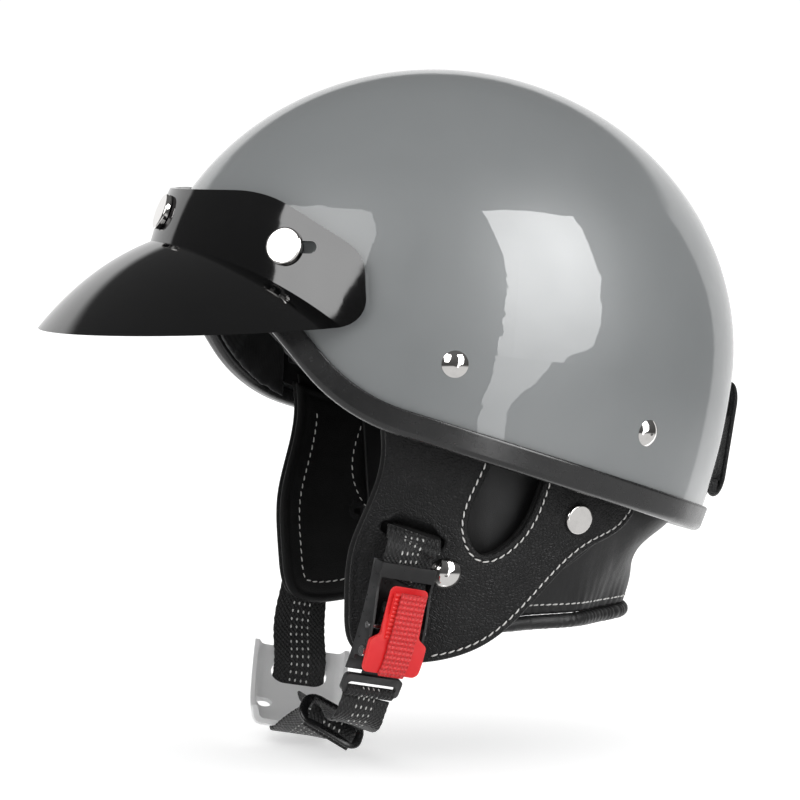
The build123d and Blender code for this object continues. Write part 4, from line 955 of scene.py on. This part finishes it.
def strip(name, stations, width, thick, paint, body, closed_ends=True):
    """Flat webbing along stations of (x, y, z, across), with rippled selvedges and UV in metres."""
    pick = 2.6
    ripple_depth = 0.16
    back_face = 0.5
    base = np.array(stations, float)
    dist = np.concatenate(([0], np.cumsum(np.linalg.norm(np.diff(base[:, :3], axis=0), axis=1))))
    steps = max(int(dist[-1] / 1.6), 4)
    where = np.linspace(0, dist[-1], steps + 1)
    line = np.stack([open_spline(base[:, k], dist, where) for k in range(3)], 1)
    across = np.stack([np.interp(where, dist, base[:, k]) for k in range(3, 6)], 1)
    half = width / 2
    section = strip_section(half, thick / 2)
    points, uv = [], []
    for i in range(steps + 1):
        along = (Vector(line[min(i + 1, steps)]) - Vector(line[max(i - 1, 0)])).normalized()
        wide = Vector(across[i])
        wide = (wide - along * wide.dot(along)).normalized()
        out = wide.cross(along).normalized()
        for u, h in section:
            ripple = ripple_depth * math.sin(where[i] * full_turn / pick) if abs(u) > half - 0.7 else 0.0
            p = Vector(line[i]) + wide * (u + (ripple if u > 0 else -ripple)) + out * h
            points.append(p * mm)
            uv.append((u * mm, where[i] * mm + (back_face if h < 0 else 0.0)))
    n = len(section)
    faces = tube_faces(steps, n)
    if closed_ends:
        faces.append(list(reversed(range(n))))
        faces.append([steps * n + j for j in range(n)])
    return mesh_piece(name, points, faces, paint, body, uv=uv)


# Stations of each strap: a place in millimetres, then the direction across the webbing
left_route = (
    (77.6, -35.4, -80.2, 0.19, 0.92, -0.35), (79.7, -35.9, -80.2, 0.19, 0.92, -0.35),
    (82.5, -36.7, -83.4, 0.18, 0.92, -0.35), (86.4, -38.4, -83.9, -0.1, 0.93, -0.25),
    (88.3, -39.4, -84.1, -0.24, 0.94, -0.21), (89.1, -40.3, -85.8, -0.27, 0.94, -0.2),
    (88.7, -40.7, -87.9, -0.27, 0.94, -0.2), (86.5, -42.1, -96.3, -0.27, 0.94, -0.2),
    (86.3, -42.6, -98.4, -0.27, 0.94, -0.2), (86.9, -43.4, -100.3, -0.27, 0.94, -0.2),
)
stub_route = (
    (-79.3, -35.4, -68.2, -0.19, 0.92, -0.35), (-81.7, -36.0, -68.4, -0.19, 0.92, -0.35),
    (-84.1, -37.0, -72.4, -0.2, 0.92, -0.33), (-83.1, -37.9, -74.5, -0.22, 0.93, -0.27),
    (-80.5, -39.8, -78.4, -0.25, 0.95, -0.19), (-79.9, -40.6, -80.8, -0.26, 0.95, -0.19),
    (-78.9, -41.0, -88.2, -0.26, 0.95, -0.19), (-77.8, -40.9, -95.7, -0.27, 0.94, -0.2),
    (-77.6, -40.6, -98.2, -0.27, 0.94, -0.2),
)
right_route = (
    (-77.6, -41.3, -101.5, -0.27, 0.94, -0.2), (-77.5, -43.0, -109.5, -0.23, 0.96, -0.12),
    (-77.6, -46.2, -125.7, -0.15, 0.97, -0.11), (-73.7, -49.2, -141.3, 0.16, 0.97, -0.14),
    (-69.4, -50.1, -148.2, 0.2, 0.97, -0.15), (-65.3, -50.9, -155.3, 0.2, 0.97, -0.15),
    (-63.7, -52.2, -163.2, 0.2, 0.97, -0.15), (-60.3, -54.1, -170.2, 0.2, 0.97, -0.15),
    (-53.5, -56.1, -174.4, 0.2, 0.97, -0.15), (-38.9, -60.1, -180.7, 0.2, 0.97, -0.15),
    (-31.0, -61.9, -182.2, 0.2, 0.97, -0.15), (-14.9, -65.2, -182.0, 0.2, 0.97, -0.15),
    (0.7, -64.3, -177.3, 0.13, 0.9, -0.35), (16.2, -61.9, -172.3, 0.07, 0.84, -0.53),
    (24.4, -61.8, -171.2, 0.07, 0.84, -0.53),
)
lower_route = (
    (-2.5, -57.5, -167.7, 0.07, 0.84, -0.53), (10.6, -59.6, -169.3, 0.07, 0.84, -0.53),
    (23.9, -60.4, -169.1, 0.07, 0.84, -0.53), (36.9, -60.0, -166.5, 0.07, 0.84, -0.53),
    (45.8, -59.9, -165.6, 0.04, 0.85, -0.51), (67.9, -60.8, -165.4, -0.2, 0.92, -0.27),
    (72.0, -60.5, -163.8, -0.25, 0.94, -0.22), (75.1, -59.7, -160.7, -0.27, 0.94, -0.2),
    (76.9, -57.2, -152.5, -0.27, 0.94, -0.2),
)
straps = (("chin_strap_left", left_route, "helmet"), ("chin_strap_right_stub", stub_route, "helmet"),
          ("chin_strap_right", right_route, "chin_strap"), ("chin_strap_lower", lower_route, "chin_strap"))
for name, route, body in straps:
    piece = strip(f"{name}_web", route, 25.0, 1.5, paints["webbing"], body)
    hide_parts(name)

# The red ribbon on the lever's face, laid over its ribs
buckle_across = Vector((-0.272, 0.9421, -0.196))
buckle_along = Vector((0.3007, 0.2767, 0.9127))
buckle_out = Vector((0.9141, 0.1893, -0.3585))


def ribbon_stations():
    """Stations of the ribbon, from rays cast down on the lever's face."""
    skin = bvhtree.BVHTree.FromObject(nodes["release_lever"], bpy.context.evaluated_depsgraph_get())
    middle = sum((Vector(corner) for corner in nodes["release_lever"].bound_box), Vector()) / 8
    top_end = 21.5
    reach = 45.0
    steps = 24
    sideways = 2.2
    lift = 0.75
    known = []
    for k in range(steps + 1):
        along = top_end - reach * k / steps
        found = []
        for shift in (-4.5, 0.0, 4.5):
            start = buckle_along * along + buckle_across * (sideways + shift) + buckle_out * 30.0
            hit = skin.ray_cast(middle + start * mm, -buckle_out)[0]
            if hit is not None:
                found.append((hit - middle).dot(buckle_out) / mm)
        if found:
            known.append((along, max(found)))
    last = len(known) - 1
    laid = []
    for i, (along, top) in enumerate(known):
        laid.append((along, max(known[max(i - 1, 0)][1], top, known[min(i + 1, last)][1])))
    tucked_end = (laid[-1][0] - 2.4, laid[-1][1] - 0.5)
    for along, height in [*laid[::2], tucked_end]:
        place = middle / mm + buckle_along * along + buckle_across * sideways + buckle_out * (height + lift)
        yield (*place, *buckle_across)


piece = strip("lever_pull_ribbon", list(ribbon_stations()), 13.6, 1.1, pull_ribbon(), "release_lever")

# The tri-glide: a rounded ring, tipped up by the webbing's turn over it
glide_long = Vector((0.07, 0.84, -0.53)).normalized()
glide_short = Vector((-0.6, 0, 0.78))
glide_short = (glide_short - glide_long * glide_short.dot(glide_long)).normalized()
glide_out = glide_long.cross(glide_short).normalized()
if glide_out.dot(back) < 0:
    glide_out = -glide_out
glide_middle = Vector((35.0, -61.5, -169.2))


def ring_path(half_long=14.6, half_short=7.0, corner=5.6):
    """Rounded rectangle in the glide's own plane."""
    path = []
    for quarter in range(4):
        centre_u = (half_long - corner) * (1 if quarter in (0, 3) else -1)
        centre_v = (half_short - corner) * (1 if quarter in (0, 1) else -1)
        for k in range(9):
            turn = full_turn / 4 * (quarter + k / 8)
            path.append((centre_u + corner * math.cos(turn), centre_v + corner * math.sin(turn)))
        if quarter in (0, 2):
            level = centre_v + corner * (1 if quarter == 0 else -1)
            path += [(centre_u - 2 * centre_u * k / 8, level) for k in range(1, 8)]
    return path


def glide_ring(name, path, half_wide=2.3, half_thick=1.3, around=14):
    """Bar of rounded section along a closed path, bowed along its length."""
    bow = 0.0055
    points = []
    count = len(path)
    for i, (u, v) in enumerate(path):
        before = path[i - 1]
        after = path[(i + 1) % count]
        run = Vector((after[0] - before[0], after[1] - before[1], 0)).normalized()
        for j in range(around):
            turn = full_turn * j / around
            across = half_wide * math.cos(turn)
            lift = half_thick * math.sin(turn) - bow * u * u
            p = glide_middle + glide_long * (u + run.y * across) + glide_short * (v - run.x * across)
            points.append((p + glide_out * lift) * mm)
    faces = [[i % len(points) for i in face] for face in tube_faces(count, around)]
    return mesh_piece(name, points, faces, paints["glide_plastic"], "chin_strap")


piece = glide_ring("tri_glide_ring", ring_path())
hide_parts("tri_glide")


def glide_web_stations():
    """Webbing bowed over the ring, with its ends sunk behind it."""
    reach = 8.4
    lift = 1.5
    sink = 4.6
    for k in range(13):
        share = -1 + k / 6
        place = glide_middle + glide_short * (share * reach) + glide_out * (lift - sink * share**4)
        yield (*place, *glide_long)


piece = strip("strap_glide_web", list(glide_web_stations()), 24.0, 1.3, paints["webbing"], "chin_strap")


def wrap_stations():
    """The strap's turn round the bar of the buckle's tongue."""
    tongue_middle = Vector((78.7508, -55.5043, -147.0336))
    bar_place = -3.55
    reach_along = 2.2
    reach_out = 2.3
    for k in range(33):
        turn = full_turn * k / 32
        along = bar_place + reach_along * math.cos(turn)
        p = tongue_middle + buckle_along * along + buckle_out * (reach_out * math.sin(turn))
        yield (*p, *buckle_across)


piece = strip("strap_wrap_web", list(wrap_stations()), 25.0, 1.1, paints["webbing"], "chin_strap",
              closed_ends=False)


# The neck curtain and its gathered hem
drops = (40.0, 66.0, 80.0, 87.0, 95.0, 108.0, 123.5)
wides = (79.3, 76.0, 74.0, 73.0, 71.6, 69.2, 66.6)
longs = (106.0, 101.5, 99.5, 98.5, 97.0, 92.0, 88.0)
bulges = (8.0, 14.0, 15.5, 11.0, 0.0, 0.0, 0.0)
curtain_floor = 120.6
curtain_half_turn = 102.0
curtain_columns = 260
curtain_rows = 46
leather_thickness = 1.9


def sweep(i, steps):
    """Angle of a column round the nape, and the outward direction there."""
    turn = math.radians(curtain_half_turn * (2 * i / steps - 1))
    return turn, Vector((math.sin(turn), math.cos(turn), 0))


def curtain_reaches(turn):
    """Distance of the curtain from the head's axis at each drop."""
    bulge_half_turn = 32.0
    scallop = 1.3
    scallops = 11
    reaches = []
    for index, (wide, long, bulge) in enumerate(zip(wides, longs, bulges)):
        value = 1 / math.sqrt((math.sin(turn) / wide) ** 2 + (math.cos(turn) / long) ** 2)
        share = abs(math.degrees(turn)) / bulge_half_turn
        if share < 1:
            value += bulge * (1 - share**2) ** 2
        reaches.append(value - scallop * index / (len(drops) - 1) * (1 + math.cos(scallops * turn)))
    return reaches


def curtain_column(turn):
    """Depths and distances down one column, from behind the rim to the hem."""
    tucked_up = 6.2
    levels = (*drops[:-1], curtain_floor)
    reaches = curtain_reaches(turn)
    fine = np.linspace(drops[0], curtain_floor, 120)
    curve = open_spline(reaches, levels, fine)
    top = next((d for d, r in zip(fine, curve) if -d < rim_level(r * math.cos(turn)) + tucked_up), fine[-2])
    places = np.linspace(top, curtain_floor, curtain_rows + 1)
    return places, open_spline(reaches, levels, places)


def curtain_folds(turn, place, depth):
    """Folds that grow below the rim and small gathers at the hem."""
    folds = 13.0
    fold_height = 0.9
    crumple_height = 0.7
    gathers = 96
    gather_height = 0.35
    slack = math.sin(math.pi * min(depth * 1.05, 1.0))
    fold = fold_height * math.sin(folds * turn + 1.3 * math.sin(3 * depth + turn))
    fold += crumple_height * noise.noise(Vector((turn * 7.0, place / 26.0, 2.0)))
    drift = 2 * noise.noise(Vector((turn * 9, 0, 5)))
    gather = gather_height * math.sin(gathers * turn + drift) * depth**7
    return 0.8 * (fold * slack - 0.4) + gather


outer_skin, inner_skin = [], []
for i in range(curtain_columns + 1):
    turn, outward = sweep(i, curtain_columns)
    for j, (place, reach) in enumerate(zip(*curtain_column(turn))):
        r = reach + curtain_folds(turn, place, j / curtain_rows)
        outer_skin.append((outward * r - Vector((0, 0, place))) * mm)
        inner_skin.append((outward * (r - leather_thickness) - Vector((0, 0, place))) * mm)
n = curtain_rows + 1
offset = len(outer_skin)
faces = []
for i in range(curtain_columns):
    for j in range(curtain_rows):
        a = i * n + j
        faces.append((a, a + 1, a + n + 1, a + n))
        faces.append((offset + a, offset + a + n, offset + a + n + 1, offset + a + 1))
for i in range(curtain_columns):
    a = i * n
    b = a + curtain_rows
    faces.append((a, a + n, offset + a + n, offset + a))
    faces.append((b, offset + b, offset + b + n, b + n))
for j in range(curtain_rows):
    b = curtain_columns * n + j
    faces.append((j, offset + j, offset + j + 1, j + 1))
    faces.append((b, b + 1, offset + b + 1, offset + b))
curtain = mesh_piece("neck_curtain_leather", outer_skin + inner_skin, faces, paints["curtain_fabric"],
                     "helmet")
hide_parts("neck_curtain")


def hem_roll(name, columns=520, around=20, radius=3.3, level=-124.2):
    """Padded roll along the curtain's lower edge, pleated at the rear, with rounded ends."""
    set_in = 1.2
    end_columns = 5
    pleated_turn = 1.35
    pleat_height = 0.28
    pleats = 150
    bump_height = 0.1
    points = []
    for i in range(columns + 1):
        turn, outward = sweep(i, columns)
        middle = curtain_reaches(turn)[-1] - set_in
        end = min(i, columns - i) / end_columns
        cap = math.sqrt(max(1 - (1 - min(end, 1)) ** 2, 0.06))
        rear_share = max(0.0, 1 - abs(turn) / pleated_turn)
        for j in range(around):
            spin = full_turn * j / around
            drift = 3.0 * noise.noise(Vector((turn * 14, 0, 1)))
            pleat = pleat_height * rear_share * math.sin(pleats * turn + drift + 0.5 * math.sin(spin))
            fat = cap * (radius + pleat + bump_height * noise.noise(Vector((turn * 30, spin, 3))))
            rise = Vector((0, 0, level + fat * math.sin(spin)))
            points.append((outward * (middle + fat * math.cos(spin)) + rise) * mm)
    faces = tube_faces(columns, around)
    faces.append(list(reversed(range(around))))
    faces.append([columns * around + j for j in range(around)])
    return mesh_piece(name, points, faces, paints["curtain_fabric"], "helmet")


hem = hem_roll("neck_curtain_roll")
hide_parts("neck_curtain_hem")
sew = []
for i in range(4, curtain_columns - 3):
    _, outward = sweep(i, curtain_columns)
    sew.append((outer_skin[i * n + curtain_rows - 3] / mm, (outward + Vector((0, 0, 0.15))).normalized()))
curtain_thread = stitches("curtain_stitching", [sew], "helmet", pitch=3.4, length=3.0, width=0.7, slant=0.1)


# The comfort pads
def swell(obj, even):
    """Blows the pad up a little as cloth, each point by a capped move."""
    most = 0.0012
    start = [v.co.copy() for v in even.vertices]
    for v, out in zip(even.vertices, [v.normal.copy() for v in even.vertices]):
        v.co -= out * 0.0006
    soft = obj.modifiers.new("cloth", "CLOTH")
    soft.settings.use_pressure = True
    soft.settings.uniform_pressure_force = 3.0
    soft.settings.effector_weights.gravity = 0.0
    soft.settings.quality = 4
    soft.collision_settings.use_collision = False
    scene = bpy.context.scene
    for step in range(1, 11):
        scene.frame_set(step)
    moved = bpy.data.meshes.new_from_object(obj.evaluated_get(bpy.context.evaluated_depsgraph_get()))
    for v, w, home in zip(even.vertices, moved.vertices, start):
        move = w.co - home
        if move.length > most:
            move *= most / move.length
        v.co = home + move
    obj.modifiers.clear()
    scene.frame_set(1)


def quilt(even, normals, pitch=17.0, depth=0.0009, groove_width=0.16):
    """Sinks crossed quilting lines into the face that looks at the head."""
    slant = math.radians(45)
    head_radius = 95.0
    for v, out in zip(even.vertices, normals):
        p = v.co / mm
        along = math.atan2(p.x, -p.y) * head_radius * math.cos(slant)
        rise = p.z * math.sin(slant)
        first = math.sin(math.pi * (along + rise) / pitch)
        second = math.sin(math.pi * (along - rise) / pitch)
        groove = math.exp(-(first / groove_width) ** 2) + math.exp(-(second / groove_width) ** 2)
        if out.dot(Vector(v.co)) < 0:
            v.co -= out * depth * min(groove, 1.0)


def pad_piece(node):
    """Padded lining in the place of a pad, swelled by simulation and quilted."""
    source = nodes[node]
    mesh = source.data.copy()
    mesh.materials.clear()
    obj = bpy.data.objects.new(f"{node}_quilt", mesh)
    obj.matrix_world = source.matrix_world
    bpy.context.scene.collection.objects.link(obj)
    bpy.context.view_layer.update()
    remesh = obj.modifiers.new("even", "REMESH")
    remesh.mode = "VOXEL"
    remesh.voxel_size = 0.0032
    even = bpy.data.meshes.new_from_object(obj.evaluated_get(bpy.context.evaluated_depsgraph_get()))
    obj.modifiers.clear()
    obj.data = even
    normals = [v.normal.copy() for v in even.vertices]
    swell(obj, even)
    quilt(even, normals)
    even.shade_smooth()
    even.materials.append(paints["quilted_lining"])
    sub = obj.modifiers.new("smooth", "SUBSURF")
    sub.levels = 1
    sub.render_levels = 1
    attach(obj, "helmet")
    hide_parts(node)


for node in ("crown_pad", "brow_pad", "side_pad_left", "side_pad_right", "nape_pad"):
    pad_piece(node)

# The goggle tab at the nape
tab_out = Vector((0, 0.98622, -0.16544))
tab_up = Vector((0, 0.16544, 0.98622))
tab_origin = Vector((0, 137.09, -30))
tab_seam = 2.4


def tab_surface(base):
    """Flat face of the tab, a distance out from its root."""
    def surface(x, y):
        return tab_origin - Vector((x, 0, 0)) + tab_up * y + tab_out * base, tab_out
    return surface


def tab_outline(half, low, high, step=1.0):
    """Long outline with round ends."""
    steps = 24
    straight = high - low - 2 * half
    count = int(straight / step)
    top = [math.pi * k / steps for k in range(steps + 1)]
    out = [(half * math.cos(turn), high - half + half * math.sin(turn)) for turn in top]
    out += [(-half, high - half - straight * k / count) for k in range(1, count)]
    out += [(-half * math.cos(turn), low + half - half * math.sin(turn)) for turn in top]
    out += [(half, low + half + straight * k / count) for k in range(1, count)]
    return np.array(out)


tab_line = tab_outline(11.0, -44.5, 11.0)
tab = leaf("goggle_tab_leather", tab_line, tab_surface(5.8),
           rounded(1.2, 1.3, groove=0.3, at=tab_seam, width=0.6, puff=0.15),
           rounded(1.2, 1.3), paints["flap_leather"], "goggle_tab", step=2.2)
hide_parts("goggle_tab")
ring = inset(tab_line, tab_seam)
tab_face = tab_surface(7.0)
tab_sewn = stitches("goggle_tab_stitching", [[tab_face(*p) for p in (*ring, ring[0])]], "goggle_tab",
                    pitch=3.2, length=2.6, width=0.5)


# Soft light panels, a pale floor and a pale surround
def glow(name, strength, low_share):
    """Uneven glow that falls to a share of its strength towards the floor."""
    mat = bpy.data.materials.new(name)
    mat.use_nodes = True
    lights = Nodes(mat.node_tree)
    lights.tree.nodes.clear()
    lights.place = lights.add("ShaderNodeTexCoord").outputs["Object"]
    uneven = lights.span(lights.noise(1.2, 2.0, 0.5), 0, 1, strength * 0.86, strength * 1.14)
    fade = lights.span(lights.axis(2), -0.35, 0.75, low_share, 1)
    light = lights.add("ShaderNodeEmission")
    lights.join(lights.calc("MULTIPLY", uneven, fade), light.inputs["Strength"])
    lights.join(light.outputs[0], lights.add("ShaderNodeOutputMaterial").inputs["Surface"])
    return mat


def panel(name, outline, azimuth, elevation, strength, low_share=1.0):
    """Softbox of a given outline, seen in reflections and not by the camera."""
    distance = 1.5
    a = math.radians(azimuth)
    e = math.radians(elevation)
    out = Vector((math.cos(a) * math.cos(e), math.sin(a) * math.cos(e), math.sin(e)))
    x = Vector((-math.sin(a), math.cos(a), 0))
    y = out.cross(x)
    points = [out * distance + x * u + y * v for u, v in outline]
    mesh = bpy.data.meshes.new(name)
    mesh.from_pydata(points, [], [list(range(len(points)))])
    mesh.materials.append(glow(name, strength, low_share))
    obj = bpy.data.objects.new(name, mesh)
    bpy.context.scene.collection.objects.link(obj)
    obj.visible_camera = False
    obj.visible_shadow = False
    obj.visible_diffuse = False


panel("key_panel", (
    (-0.329, 0.872), (-0.122, 0.811), (0.041, 0.744), (0.254, 0.681), (0.461, 0.626), (0.461, 0.481),
    (0.441, 0.224), (0.433, 0.067), (0.382, -0.142), (0.333, -0.353), (0.266, -0.547), (0.077, -0.6),
    (-0.175, -0.716), (-0.4, -0.827), (-0.551, -0.938), (-0.605, -1.35), (-0.95, -1.35), (-0.886, -1.036),
    (-0.799, -0.848), (-0.672, -0.659), (-0.54, -0.284), (-0.42, 0.065), (-0.377, 0.273), (-0.357, 0.425),
    (-0.333, 0.691),
), 34, 20, 8.6, 0.42)
panel("left_panel", (
    (-0.75, 0.56), (-0.221, 0.433), (0.121, 0.401), (0.228, 0.188), (0.231, -0.125), (0.136, -0.472),
    (-0.031, -0.78), (-0.75, -0.75),
), -40, 36, 3.6)

floor_half = 9.0
floor_drop = 0.0008
floor_shape = bmesh.new()
bmesh.ops.create_grid(floor_shape, x_segments=1, y_segments=1, size=floor_half)
bmesh.ops.translate(floor_shape, vec=(0, 0, cad_box[0].z - floor_drop), verts=floor_shape.verts[:])
floor_mesh = bpy.data.meshes.new("floor")
floor_shape.to_mesh(floor_mesh)
floor_shape.free()
floor_paint = Paint("floor", (0.8, 0.8, 0.8), 0.7)
floor_paint.mottle(3.0, 3.0, 0.3, 0.7, 0.4, (0.77, 0.77, 0.77))
floor_paint.set("Emission Color", (1, 1, 1, 1))
camera_sees = floor_paint.add("ShaderNodeLightPath").outputs["Is Camera Ray"]
floor_paint.join(floor_paint.calc("MULTIPLY", camera_sees, 0.5),
                 floor_paint.shader.inputs["Emission Strength"])
floor_mesh.materials.append(floor_paint.mat)
floor = bpy.data.objects.new("floor", floor_mesh)
bpy.context.scene.collection.objects.link(floor)
floor.visible_glossy = False

# The surround: white where it is seen, an even room for the light, and a studio in reflections
world = bpy.data.worlds.new("surround")
bpy.context.scene.world = world
world.use_nodes = True
sky = Nodes(world.node_tree)
sky.tree.nodes.clear()
toward = sky.add("ShaderNodeTexCoord").outputs["Generated"]
toward_x = sky.axis(0, toward)
toward_y = sky.axis(1, toward)
height = sky.axis(2, toward)
wall_turn = math.radians(164)
facing = sky.calc("ADD", sky.calc("MULTIPLY", toward_x, math.cos(wall_turn)),
                  sky.calc("MULTIPLY", toward_y, math.sin(wall_turn)))
squares = sky.calc("ADD", sky.calc("POWER", toward_x, 2.0), sky.calc("POWER", toward_y, 2.0))
facing = sky.calc("DIVIDE", facing, sky.calc("SQRT", squares))
wall = sky.calc("MULTIPLY", sky.span(facing, 0.59, 0.64, 0, 1, smooth=True),
                sky.span(height, 0.36, 0.46, 1, 0, smooth=True))
dim = sky.span(height, -0.3, 0.9, 0.06, 0.12, smooth=True)
table = sky.span(height, -0.3, -0.14, 0.62, 0, smooth=True)
mirrored = sky.calc("ADD", sky.calc("ADD", dim, table), sky.calc("MULTIPLY", wall, 0.9))
room = sky.span(height, -1.0, 1.0, 0.8, 1.05, smooth=True)
rays = sky.add("ShaderNodeLightPath").outputs
level = sky.add("ShaderNodeMix", data_type="FLOAT")
for socket, value in ((0, rays["Is Glossy Ray"]), (2, room), (3, mirrored)):
    sky.join(value, level.inputs[socket])
lighting = sky.add("ShaderNodeBackground")
lighting.inputs["Color"].default_value = (1, 1, 1, 1)
sky.join(level.outputs[0], lighting.inputs["Strength"])
seen = sky.add("ShaderNodeBackground")
seen.inputs["Color"].default_value = (1, 1, 1, 1)
seen.inputs["Strength"].default_value = 1.05
choose = sky.add("ShaderNodeMixShader")
shows_white = sky.calc("MAXIMUM", rays["Is Camera Ray"], rays["Is Transmission Ray"])
for socket, value in enumerate((shows_white, lighting.outputs[0], seen.outputs[0])):
    sky.join(value, choose.inputs[socket])
sky.join(choose.outputs[0], sky.add("ShaderNodeOutputWorld").inputs["Surface"])

bpy.context.scene.view_settings.view_transform = "Standard"
bpy.context.scene.view_settings.look = "None"
